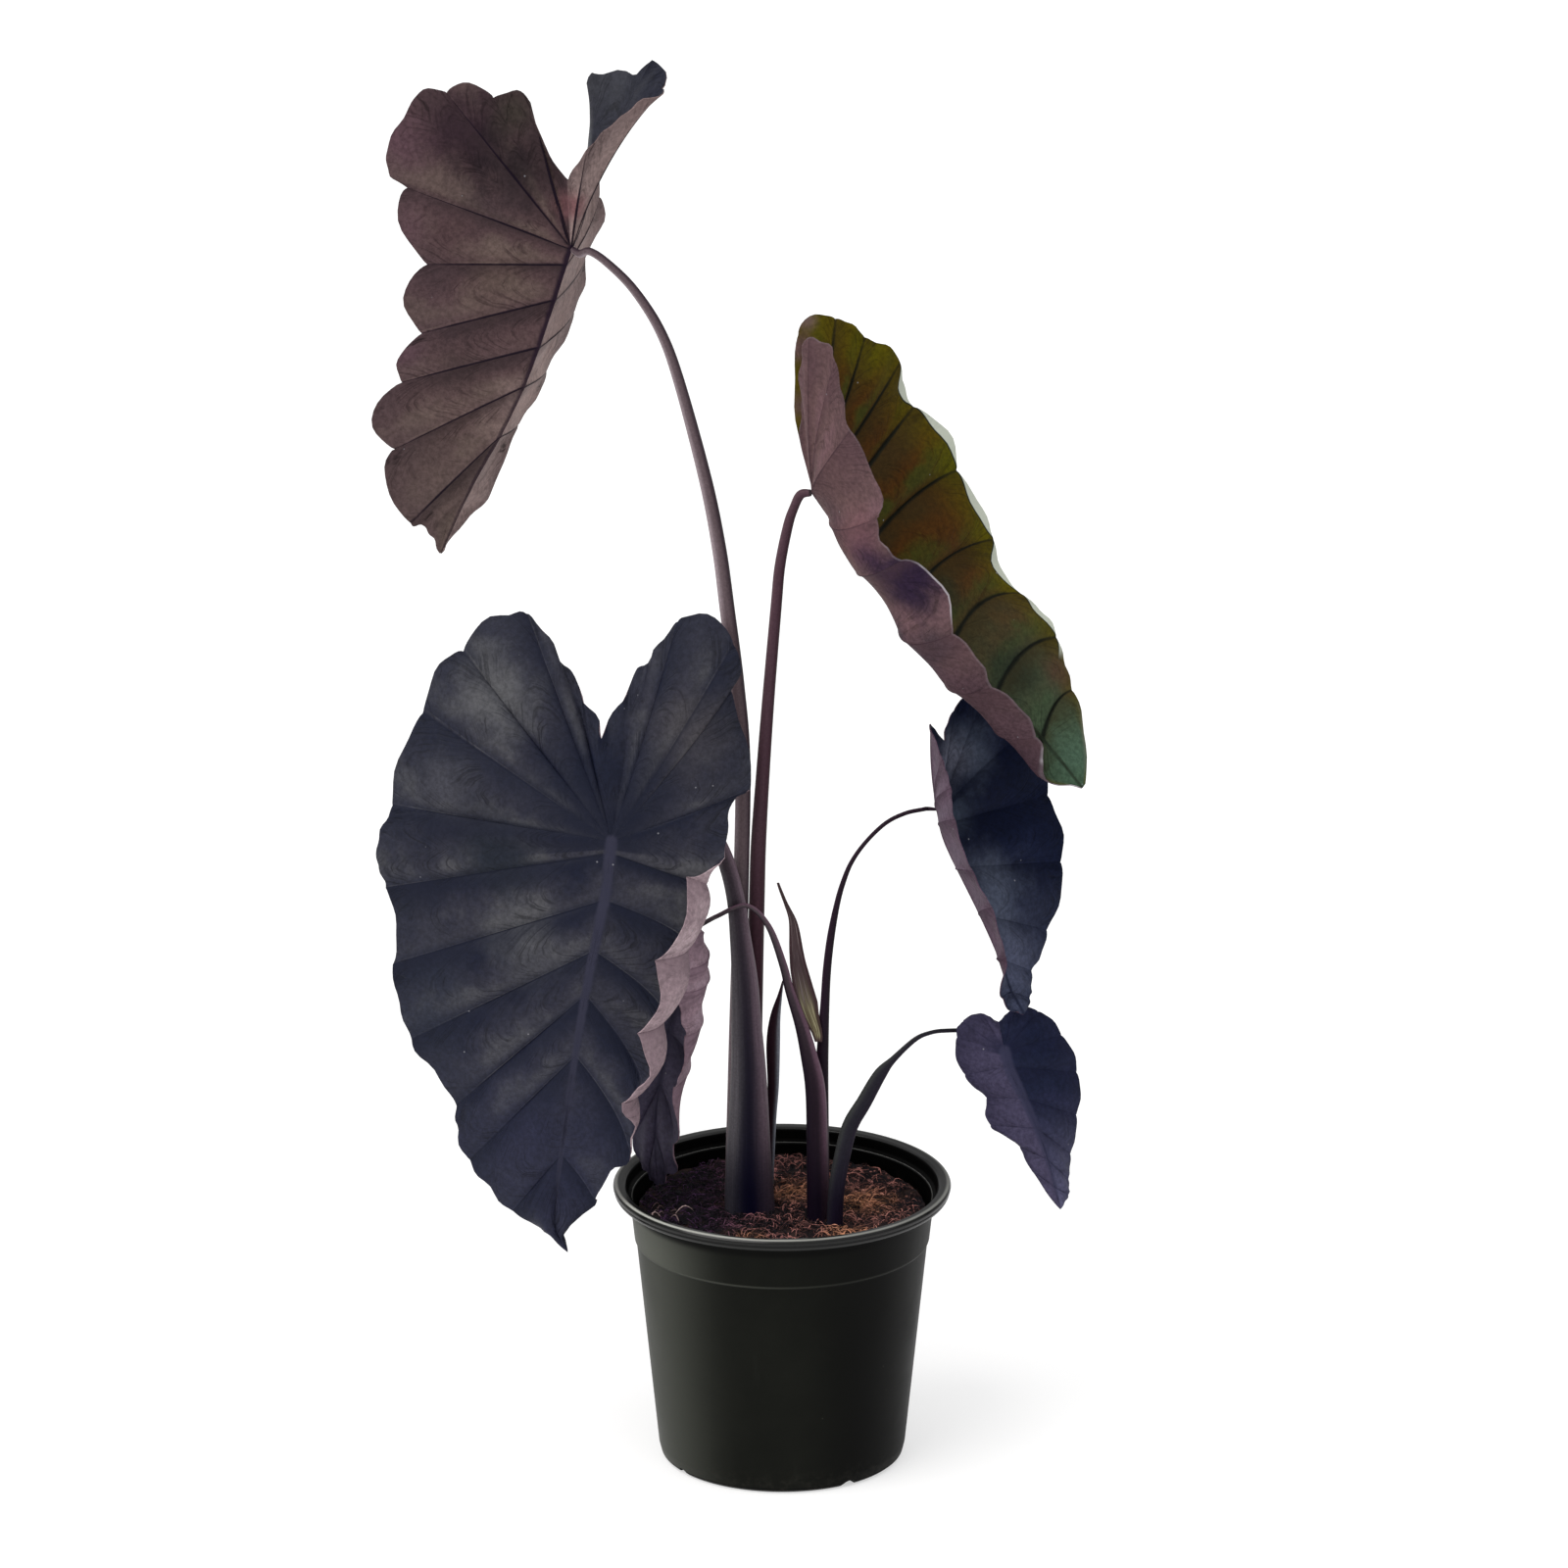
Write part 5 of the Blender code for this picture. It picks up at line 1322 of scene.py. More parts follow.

# Leaf finishes. Between two veins the colour runs from the valley shade below the one, over the
# field's, to the crest tint and highlight above the next: painted shade and painted highlight of
# the quilting, while on leaf b the crest is rather its own green. Tip is mixed in down the blade,
# rim near the margin and half over the left half, by these shares. The usual numbers come first,
# and each finish states those that differ.
USUAL_LEAF = {"vein_width": 1.0, "lobe_fade": 0.0, "patchy": 0.5, "specular": 0.05,
              "joint_fade": 0.0, "shade": 0.3, "rim_share": 0.4}
LEAF_FINISHES = {
    "slate": {
        "valley_shade": (0.0056, 0.0072, 0.018), "field": (0.0205, 0.0205, 0.0315),
        "crest_tint_and_highlight": (0.054, 0.0535, 0.06), "vein": (0.004, 0.0055, 0.015),
        "midrib": (0.026, 0.026, 0.047), "tip": (0.013, 0.0145, 0.033), "tip_share": 0.8,
        "rim": (0.013, 0.015, 0.026), "rim_share": 0.35, "line": 0.6, "crease": 0.45,
        "feather": 0.3, "shade": 0.6, "patchy": 0.75, "lobe_fade": 0.5, "joint_fade": 1.0,
        "rough": 0.52, "specular": 0.12, "relief": 0.24,
    },
    # Leaf d's upper face: the slate tones made lighter, painted light where that face lies in shade
    "lightened slate": {
        "valley_shade": (0.046, 0.043, 0.072), "field": (0.058, 0.052, 0.09),
        "crest_tint_and_highlight": (0.076, 0.069, 0.106), "vein": (0.026, 0.023, 0.044),
        "midrib": (0.04, 0.037, 0.066), "tip": (0.052, 0.042, 0.07), "tip_share": 0.5,
        "rim": (0.04, 0.034, 0.058), "rim_share": 0.3, "line": 0.6, "crease": 0.3, "feather": 0.16,
        "shade": 0.4, "lobe_fade": 0.2, "joint_fade": 0.7, "rough": 0.55, "specular": 0.12,
        "relief": 0.16,
    },
    "navy": {
        "valley_shade": (0.002, 0.0036, 0.014), "field": (0.0034, 0.0055, 0.019),
        "crest_tint_and_highlight": (0.007, 0.01, 0.029), "vein": (0.002, 0.0036, 0.0135),
        "midrib": (0.006, 0.008, 0.022), "tip": (0.04, 0.046, 0.078), "tip_share": 0.8,
        "rim": (0.004, 0.006, 0.018), "line": 0.22, "crease": 0.35, "feather": 0.22, "shade": 0.25,
        "patchy": 0.8, "vein_width": 0.9, "lobe_fade": 0.6, "joint_fade": 1.0, "rough": 0.56,
        "specular": 0.04, "relief": 0.22,
    },
    "plum": {
        "valley_shade": (0.007, 0.0085, 0.024), "field": (0.0085, 0.011, 0.028),
        "crest_tint_and_highlight": (0.013, 0.015, 0.038), "vein": (0.006, 0.007, 0.021),
        "midrib": (0.028, 0.028, 0.056), "tip": (0.076, 0.074, 0.13), "tip_share": 0.8,
        "rim": (0.013, 0.013, 0.032), "rim_share": 0.3, "half": (0.05, 0.043, 0.08),
        "half_share": 0.85, "line": 0.25, "crease": 0.1, "feather": 0.14, "shade": 0.12,
        "patchy": 0.4, "vein_width": 0.8, "lobe_fade": 0.3, "joint_fade": 1.0, "rough": 0.56,
        "relief": 0.16,
    },
    "olive": {
        "valley_shade": (0.03, 0.0165, 0.0035), "field": (0.05, 0.0185, 0.0025),
        "crest_tint_and_highlight": (0.034, 0.036, 0.005), "vein": (0.003, 0.0045, 0.003),
        "midrib": (0.006, 0.009, 0.006), "tip": (0.034, 0.066, 0.04), "tip_share": 0.9,
        "rim": (0.062, 0.05, 0.0008), "rim_share": 0.75, "line": 0.92, "crease": 0.35,
        "feather": 0.24, "shade": 0.45, "patchy": 0.3, "vein_width": 2.8, "joint_fade": 0.4,
        "rough": 0.54, "relief": 0.22,
    },
    "brown under": {
        "valley_shade": (0.04, 0.025, 0.028), "field": (0.066, 0.0395, 0.042),
        "crest_tint_and_highlight": (0.094, 0.066, 0.059), "vein": (0.006, 0.003, 0.008),
        "midrib": (0.009, 0.004, 0.012), "tip": (0.08, 0.06, 0.052), "tip_share": 0.6,
        # The lighter left half is painted light, on the narrow half of leaf a's underside that
        # faces the light
        "rim": (0.062, 0.038, 0.044), "half": (0.23, 0.168, 0.16), "half_share": 0.85, "line": 0.96,
        "crease": 0.75, "feather": 0.26, "shade": 0.35, "patchy": 0.6, "vein_width": 1.15,
        "rough": 0.68, "relief": 0.28,
    },
    "mauve under": {
        "valley_shade": (0.08, 0.044, 0.049), "field": (0.104, 0.061, 0.061),
        "crest_tint_and_highlight": (0.128, 0.072, 0.08), "vein": (0.03, 0.016, 0.023), "midrib": (0.05, 0.028, 0.037),
        "tip": (0.036, 0.02, 0.029), "tip_share": 0.95, "rim": (0.075, 0.044, 0.052),
        "rim_share": 0.3, "line": 0.6, "crease": 0.15, "feather": 0.2, "vein_width": 0.8,
        "lobe_fade": 0.2, "rough": 0.66, "relief": 0.22,
    },
    "pale mauve under": {
        "valley_shade": (0.17, 0.122, 0.14), "field": (0.3, 0.226, 0.246), "crest_tint_and_highlight": (0.42, 0.33, 0.35),
        "vein": (0.1, 0.065, 0.085), "midrib": (0.16, 0.1, 0.13), "tip": (0.27, 0.195, 0.225),
        "tip_share": 0.4, "rim": (0.24, 0.168, 0.19), "line": 0.55, "crease": 0.3, "feather": 0.14,
        "shade": 0.45, "rough": 0.66, "relief": 0.3,
    },
    "dusky under": {
        "valley_shade": (0.22, 0.148, 0.185), "field": (0.31, 0.215, 0.255), "crest_tint_and_highlight": (0.37, 0.27, 0.32),
        "vein": (0.11, 0.062, 0.09), "midrib": (0.12, 0.07, 0.09), "tip": (0.19, 0.125, 0.155),
        "tip_share": 0.6, "rim": (0.18, 0.115, 0.145), "line": 0.5, "crease": 0.35, "feather": 0.14,
        "shade": 0.5, "rough": 0.66, "relief": 0.3,
    },
    "maroon under": {
        "valley_shade": (0.068, 0.042, 0.063), "field": (0.104, 0.07, 0.1), "crest_tint_and_highlight": (0.11, 0.082, 0.112),
        "vein": (0.034, 0.019, 0.032), "midrib": (0.05, 0.025, 0.042), "tip": (0.055, 0.026, 0.044),
        "tip_share": 0.7, "rim": (0.06, 0.034, 0.052), "line": 0.4, "crease": 0.2, "feather": 0.18,
        "vein_width": 0.8, "rough": 0.68, "relief": 0.2,
    },
}

# Upper and underside finish of each leaf
LEAF_SIDES = {
    "a": ("slate", "brown under"),
    "b": ("olive", "mauve under"),
    "c": ("slate", "pale mauve under"),
    "d": ("lightened slate", "dusky under"),
    "e": ("navy", "maroon under"),
    "f": ("plum", "maroon under"),
}

# Soft spots on a leaf's upper face (0) or underside (1), mostly painted light: the pale ones are
# painted sheen where the blade faces the light, the dark ones painted shade, and a few the leaf's
# own tone. Each gives the half, the place counted in veins from the cleft, how far out, the size
# in millimetres, the colour and the share.
LEAF_LIGHT_AND_TONE_SPOTS = {
    ("a", 0): [
        ("left", 4.6, 0.85, 40, (0.027, 0.028, 0.036), 0.7),
    ],
    ("a", 1): [
        ("right", 7.4, 0.4, 20, (0.088, 0.062, 0.052), 0.6),
        ("right", 9.9, 0.5, 20, (0.086, 0.056, 0.054), 0.55),
        ("right", 5.0, 0.45, 26, (0.038, 0.026, 0.029), 0.6),
        ("right", 4.6, 0.95, 24, (0.078, 0.042, 0.054), 0.8),
        ("right", 6.6, 0.95, 15, (0.084, 0.046, 0.057), 0.7),
        ("right", 8.4, 0.95, 13, (0.08, 0.044, 0.056), 0.7),
        ("right", 3.2, 0.75, 32, (0.016, 0.008, 0.0135), 0.88),
        ("right", 2.6, 0.5, 30, (0.012, 0.0085, 0.0105), 0.9),
        ("right", 6.6, 0.7, 22, (0.05, 0.027, 0.031), 0.65),
        ("right", 1.6, 0.85, 18, (0.032, 0.026, 0.021), 0.8),
        ("left", 10.2, 0.5, 36, (0.27, 0.195, 0.18), 0.85),
        ("right", 9.0, 0.55, 20, (0.034, 0.022, 0.023), 0.6),
        ("left", 0.2, 0.55, 11, (0.15, 0.066, 0.072), 0.85),
    ],
    ("b", 0): [
        ("right", 0.4, 0.95, 11, (0.085, 0.048, 0.048), 0.9),
        ("right", 0.9, 0.95, 10, (0.085, 0.048, 0.048), 0.9),
        ("right", 1.3, 1.0, 7, (0.11, 0.07, 0.066), 0.9),
        ("right", 3.2, 0.95, 16, (0.064, 0.058, 0.0005), 0.8),
        ("right", 5.9, 0.95, 15, (0.064, 0.062, 0.0005), 0.8),
        ("right", 6.9, 0.95, 13, (0.07, 0.062, 0.0005), 0.8),
        ("right", 7.9, 0.95, 12, (0.07, 0.056, 0.0005), 0.7),
        ("right", 9.1, 0.2, 24, (0.009, 0.018, 0.012), 0.85),
        ("right", 7.4, 0.25, 19, (0.012, 0.02, 0.01), 0.7),
        ("right", 10.6, 0.3, 20, (0.05, 0.09, 0.062), 0.8),
        ("right", 9.6, 0.8, 16, (0.056, 0.026, 0.016), 0.7),
    ],
    ("b", 1): [
        ("left", 7.05, 0.78, 15, (0.044, 0.03, 0.038), 0.8),
        ("left", 4.6, 0.35, 15, (0.06, 0.036, 0.043), 0.6),
        ("left", 5.2, 0.8, 22, (0.145, 0.066, 0.078), 0.7),
        ("left", 7.3, 0.25, 27, (0.034, 0.023, 0.036), 0.85),
        ("left", 6.35, 0.76, 25, (0.015, 0.008, 0.026), 0.92),
        ("left", 6.2, 0.98, 24, (0.015, 0.008, 0.026), 0.92),
        ("left", 5.7, 0.8, 17, (0.024, 0.012, 0.032), 0.75),
        ("left", 8.0, 0.85, 26, (0.05, 0.028, 0.036), 0.8),
    ],
    ("c", 0): [
        ("left", 5.1, 0.6, 22, (0.01, 0.011, 0.02), 0.85),
        ("left", 6.5, 0.45, 22, (0.008, 0.01, 0.018), 0.8),
        ("left", 8.4, 0.72, 20, (0.012, 0.014, 0.025), 0.6),
        ("right", 7.9, 0.22, 16, (0.014, 0.015, 0.026), 0.6),
        ("left", 3.0, 0.76, 28, (0.082, 0.082, 0.086), 0.8),
        ("left", 4.5, 0.75, 20, (0.05, 0.05, 0.06), 0.6),
        ("left", 8.2, 0.35, 26, (0.062, 0.062, 0.068), 0.8),
        ("right", 3.2, 0.6, 30, (0.044, 0.04, 0.045), 0.8),
        ("left", 6.4, 0.45, 26, (0.009, 0.012, 0.02), 0.85),
        ("left", 8.8, 0.85, 26, (0.011, 0.014, 0.027), 0.7),
        ("left", 11.5, 0.5, 40, (0.0145, 0.0155, 0.034), 0.7),
        ("left", 0.8, 0.45, 42, (0.0055, 0.0075, 0.019), 0.9),
    ],
    ("e", 0): [
        ("right", 2.1, 0.45, 24, (0.07, 0.086, 0.122), 0.62),
        ("right", 3.6, 0.12, 16, (0.04, 0.052, 0.078), 0.7),
        ("right", 6.3, 0.25, 20, (0.058, 0.066, 0.1), 0.7),
        ("right", 1.0, 0.5, 18, (0.12, 0.125, 0.17), 0.8),
        ("right", 5.4, 0.25, 26, (0.064, 0.076, 0.112), 0.8),
        ("right", 7.0, 0.5, 22, (0.064, 0.072, 0.118), 0.75),
        ("right", 3.4, 0.75, 20, (0.0018, 0.0035, 0.013), 0.8),
    ],
    ("f", 0): [
        ("left", 2.2, 0.75, 16, (0.02, 0.018, 0.038), 0.8),
        ("right", 3.0, 0.6, 16, (0.0055, 0.008, 0.024), 0.7),
    ],
}

# Painted highlight on the thin rolled edge of the left half, where it catches the light, by leaf
# and face
EDGE_HIGHLIGHTS = {("b", 1): (0.40, 0.37, 0.40)}

# How wide a strip of painted sheen shows outside the painted dark crease line of a margin, in
# millimetres, by leaf
SHEEN_STRIP = {"b": 5.5}

# How wide the midrib's line is, on the upper face and on the underside
MIDRIB_WIDTHS = (1.9, 1.3)


def leaf_finish(key, face, blade):
    """Leaf surface: quilting in painted shade and painted highlights, spots mostly of painted
    light, veins, feathered side veins, puckers with painted shade in their creases, and dust.
    """
    name = LEAF_SIDES[key][face]
    tone = {**USUAL_LEAF, **LEAF_FINISHES[name]}
    skin = Finish(f"leaf {key} {name}")
    reach, down, half, inset, row, fall = (
        skin.carried(part) for part in ("reach", "down", "half", "inset", "row", "fall"))
    near_joint = skin.minus(1.0, skin.carried("strong"))
    on_lobe = skin.step(row, 2.5, 6.5, 1.0 - tone["lobe_fade"], 1.0)
    strength = skin.times(skin.minus(1.0, skin.times(near_joint, tone["joint_fade"])), on_lobe)
    veins = skin.use(VEINS, Off_Vein=skin.carried("off_vein"), Reach=reach, Strength=strength,
                     Off_Midrib=skin.carried("off_midrib"), Fall=fall,
                     Vein_Width=tone["vein_width"], Midrib_Width=MIDRIB_WIDTHS[face])
    fine = skin.use(FEATHER, Sweep=skin.carried("sweep"), Row=row, Inset=inset, Spacing=2.0)
    cloud = skin.use(MOTTLE, Scale=30.0, Contrast=2.2)

    # Quilting: the painted valley shade below one vein, the field, and patches of painted crest
    # highlight above the next vein
    fallen = skin.plus(fall, skin.swing(cloud["Cloud"], 0.75))
    fallen = skin.plus(skin.swing(fallen, on_lobe), 0.5)
    skin.colour = skin.mix(skin.step(fallen, 0.0, 0.62), tone["valley_shade"], tone["field"])
    patches = skin.step(skin.noise(skin.place(), 30.0, 4.0), 0.43, 0.60, 1.0 - tone["patchy"], 1.0)
    lit = skin.times(skin.step(fallen, 0.45, 0.85), patches,
                     skin.step(fine["Lines"], 0.0, 1.0, 1.1, 0.6),
                     skin.step(reach, 0.0, 0.3, 0.45, 1.0),
                     skin.step(fall, 0.78, 1.0, 1.0, 0.3), 0.85)
    skin.lay(lit, tone["crest_tint_and_highlight"])
    # Painted shade again as the surface nears the next vein
    skin.lay(skin.times(skin.step(fall, 0.84, 1.0), tone["shade"]), tone["valley_shade"])

    # Broad tones: the tip, the left half, the margin, and the single spots of painted light and the
    # leaf's own tone
    skin.lay(skin.times(skin.step(down, 0.25, 1.0), tone["tip_share"]), tone["tip"])
    # On leaf a's underside the lighter left half is painted light, where that narrow half faces the
    # light
    if "half" in tone:
        skin.lay(skin.times(skin.fade(half, -0.06, 0.0), tone["half_share"]), tone["half"])
    skin.lay(skin.times(skin.step(reach, 0.6, 1.0), tone["rim_share"]), tone["rim"])
    for side, place, part, size, spot_light_and_tone, share in LEAF_LIGHT_AND_TONE_SPOTS.get((key, face), []):
        centre = blade.curve(side, place)[round(part * (FINE_STEPS - 1))]
        spot = skin.use(SPOT, Centre=tuple(float(number) for number in centre), Size=size * MM)
        skin.lay(skin.times(spot["Mask"], share), spot_light_and_tone)

    # Fine lines, painted shade in the creases, and specks, then the veins over them
    feather = tone["feather"]
    skin.shade(skin.step(fine["Lines"], 0.0, 1.0, 1.0 + 0.35 * feather, 1.0 - feather))
    # Painted shade in the creases of the puckers
    creased = skin.times(fine["Puckers"], skin.step(fall, 0.15, 0.65, 1.0, 0.1))
    skin.shade(skin.step(creased, 0.0, 1.0, 1.0, 1.0 - tone["crease"]))
    skin.shade(skin.step(cloud["Speck"], 0.3, 0.72, 0.78, 1.22))
    # Painted shade below each vein, and the same dark tone towards the joint, then the vein lines
    # and the midrib
    skin.lay(skin.times(veins["Shade"], tone["shade"]), tone["valley_shade"])
    skin.lay(skin.times(near_joint, 0.8 * tone["joint_fade"]), tone["valley_shade"])
    skin.lay(skin.times(veins["Line"], tone["line"]), tone["vein"])
    skin.lay(skin.times(veins["Midrib"], skin.step(down, 0.1, 1.0, 0.9, 0.5)), tone["midrib"])
    # Painted highlight along the thin rolled edge
    if (key, face) in EDGE_HIGHLIGHTS:
        ragged = skin.step(skin.noise(skin.place(), 34.0), 0.44, 0.60, 0.1, 0.8)
        edge = skin.times(skin.fade(inset, 0.2, 0.9), skin.fade(half, -0.8, -0.6),
                          skin.step(row, 5.4, 6.2, 0.25, 1.0), ragged)
        skin.lay(edge, EDGE_HIGHLIGHTS[key, face])
    if key in SHEEN_STRIP and face == 0:
        lay_sheen_strip(skin, inset, row, half, SHEEN_STRIP[key])
    skin.lay(skin.times(cloud["Dust"], 0.5), (0.30, 0.30, 0.33))
    relief = skin.minus(skin.times(fine["Crepe"], 0.4), skin.times(fine["Lines"], 0.4))
    relief = skin.minus(relief, skin.times(creased, 1.2))
    skin.bump(relief, tone["relief"] * MM * 1.8, 0.85)
    rough = tone["rough"]
    return skin.done(skin.step(cloud["Cloud"], 0.2, 0.8, rough - 0.06, rough + 0.1),
                     tone["specular"])


def lay_sheen_strip(skin, inset, row, half, width):
    """Painted sheen on the turned edge outside the margin, where it bends out to the light, and a
    thin line of painted shade along the crease, between the veins' ends.
    """
    bulge = skin.times(skin.math("POWER", skin.carried("middle"), 1.4), width)
    past = skin.minus(inset, bulge)
    there = skin.times(skin.step(row, 3.9, 4.2), skin.fade(row, 9.1, 9.4),
                       skin.step(half, 0.3, 0.5))
    skin.lay(skin.times(skin.fade(past, -0.3, 0.1), there, 0.92), (0.46, 0.49, 0.42))
    # Thin line of painted shade along the crease
    line = skin.times(skin.fade(skin.math("ABSOLUTE", past), 0.15, 0.6), there)
    skin.lay(line, (0.010, 0.014, 0.010))


# Stalk colours: the middle of the front, the left and right edges (mostly painted highlights, where
# the sides catch the light), the foot and the top, and how high above the soil the foot's colour
# reaches, in millimetres
STALK_TONES = {
    "a": ((0.086, 0.066, 0.072), (0.290, 0.235, 0.255), (0.030, 0.018, 0.026),
          (0.012, 0.009, 0.018), (0.105, 0.074, 0.083), 90),
    "b": ((0.044, 0.013, 0.022), (0.084, 0.046, 0.058), (0.032, 0.009, 0.017),
          (0.014, 0.006, 0.012), (0.062, 0.032, 0.044), 80),
    "c": ((0.0050, 0.0036, 0.0110), (0.120, 0.112, 0.124), (0.140, 0.098, 0.124),
          (0.0012, 0.0010, 0.0105), (0.046, 0.034, 0.042), 70),
    "d": ((0.010, 0.0045, 0.0095), (0.008, 0.004, 0.010), (0.130, 0.072, 0.104),
          (0.004, 0.002, 0.008), (0.100, 0.078, 0.088), 60),
    "e": ((0.009, 0.004, 0.010), (0.026, 0.012, 0.024), (0.009, 0.004, 0.009),
          (0.005, 0.003, 0.010), (0.016, 0.007, 0.014), 40),
    "f": ((0.012, 0.011, 0.017), (0.028, 0.030, 0.030), (0.014, 0.009, 0.020),
          (0.007, 0.004, 0.014), (0.026, 0.023, 0.028), 55),
}
# The slender sheath's colours in the same order; its pale right edge is a painted highlight
SHEATH_TONES = ((0.022, 0.007, 0.013), (0.024, 0.010, 0.018), (0.260, 0.280, 0.330),
                (0.012, 0.006, 0.012), (0.030, 0.010, 0.018), 40)


def stalk_finish(name, tones, rough=0.5):
    """Stalk skin: lit edges round a dark middle, long streaks, and a dark foot near the soil."""
    front, left, right, foot, top, foot_rise = tones
    skin = Finish(name)
    around = skin.carried("around")
    streaks = skin.use(STREAKS, Around=around, Along=skin.carried("along"), Fineness=4.0)
    cloud = skin.use(MOTTLE, Scale=60.0, Contrast=1.6)
    upward = skin.parts(skin.place())["Z"]
    high = skin.step(upward, SOIL_LEVEL + 60 * MM, SOIL_LEVEL + 230 * MM)
    skin.colour = skin.mix(skin.times(high, 0.85), front, top)
    low = skin.fade(upward, SOIL_LEVEL, SOIL_LEVEL + foot_rise * MM)
    skin.lay(skin.times(low, 0.92), foot)
    turned = skin.plus(around, skin.swing(streaks["Streak"], 0.3))
    dimmed = skin.step(low, 0.0, 1.0, 1.0, 0.3)
    # Painted highlights on the left and right edges, dimmed near the foot
    for start, end, edge in ((0.1, -1.0, left), (-0.1, 1.0, right)):
        lit = skin.math("POWER", skin.step(turned, start, end), 1.7)
        skin.lay(skin.times(lit, dimmed), edge)
    skin.shade(skin.step(streaks["Thread"], 0.3, 0.8, 0.88, 1.14))
    skin.shade(skin.step(cloud["Speck"], 0.3, 0.75, 0.84, 1.16))
    skin.bump(streaks["Thread"], 0.15 * MM, 0.7)
    return skin.done(skin.step(streaks["Streak"], 0.2, 0.8, rough - 0.06, rough + 0.1), 0.08)


def papery_finish():
    """Dry sheath: straw and olive streaks, with brown-maroon edges and ends."""
    skin = Finish("papery sheath")
    around = skin.carried("around")
    along = skin.carried("along")
    streaks = skin.use(STREAKS, Around=around, Along=along, Fineness=5.0)
    straw = skin.mix(skin.step(streaks["Streak"], 0.35, 0.6), (0.36, 0.33, 0.20),
                     (0.10, 0.075, 0.040))
    brown = skin.mix(skin.step(streaks["Streak"], 0.52, 0.66), (0.060, 0.036, 0.040),
                     (0.30, 0.25, 0.25))
    ragged = skin.plus(along, skin.swing(streaks["Thread"], 60.0))
    skin.colour = skin.mix(skin.step(ragged, 42.0, 80.0), straw, brown)
    edge = skin.step(skin.math("ABSOLUTE", around), 0.5, 0.85)
    skin.lay(skin.times(edge, 0.92), (0.042, 0.018, 0.022))
    skin.lay(skin.step(along, 100.0, 140.0), (0.040, 0.022, 0.024))
    skin.lay(skin.step(along, 14.0, 0.0), (0.045, 0.020, 0.024))
    skin.shade(skin.step(streaks["Thread"], 0.3, 0.8, 0.6, 1.4))
    skin.bump(streaks["Thread"], 0.2 * MM, 0.9)
    return skin.done(skin.step(streaks["Thread"], 0.2, 0.8, 0.6, 0.85), 0.25)


def shaded_inner_pot_finish():
    """Black plastic of the pot's inside, darker than the outside as painted shade, with dried
    splashes low on the wall.
    """
    skin = Finish("pot inside plastic in painted shade")
    cloud = skin.use(MOTTLE, Scale=22.0, Contrast=1.3)
    place = skin.place()
    skin.colour = skin.mix(skin.step(cloud["Cloud"], 0.2, 0.8), (0.0004, 0.0004, 0.0004),
                           (0.0012, 0.0012, 0.0010))
    low = skin.fade(skin.parts(place)["Z"], SOIL_LEVEL - 2 * MM, SOIL_LEVEL + 6 * MM)
    skin.lay(skin.times(low, skin.step(cloud["Speck"], 0.5, 0.8), 0.3), (0.03, 0.02, 0.015))
    skin.bump(skin.noise(place, PLASTIC_GRAIN, 2.0, 0.6), 0.06 * MM, 0.45)
    return skin.done(skin.step(cloud["Cloud"], 0.2, 0.8, 0.5, 0.6), 0.03)


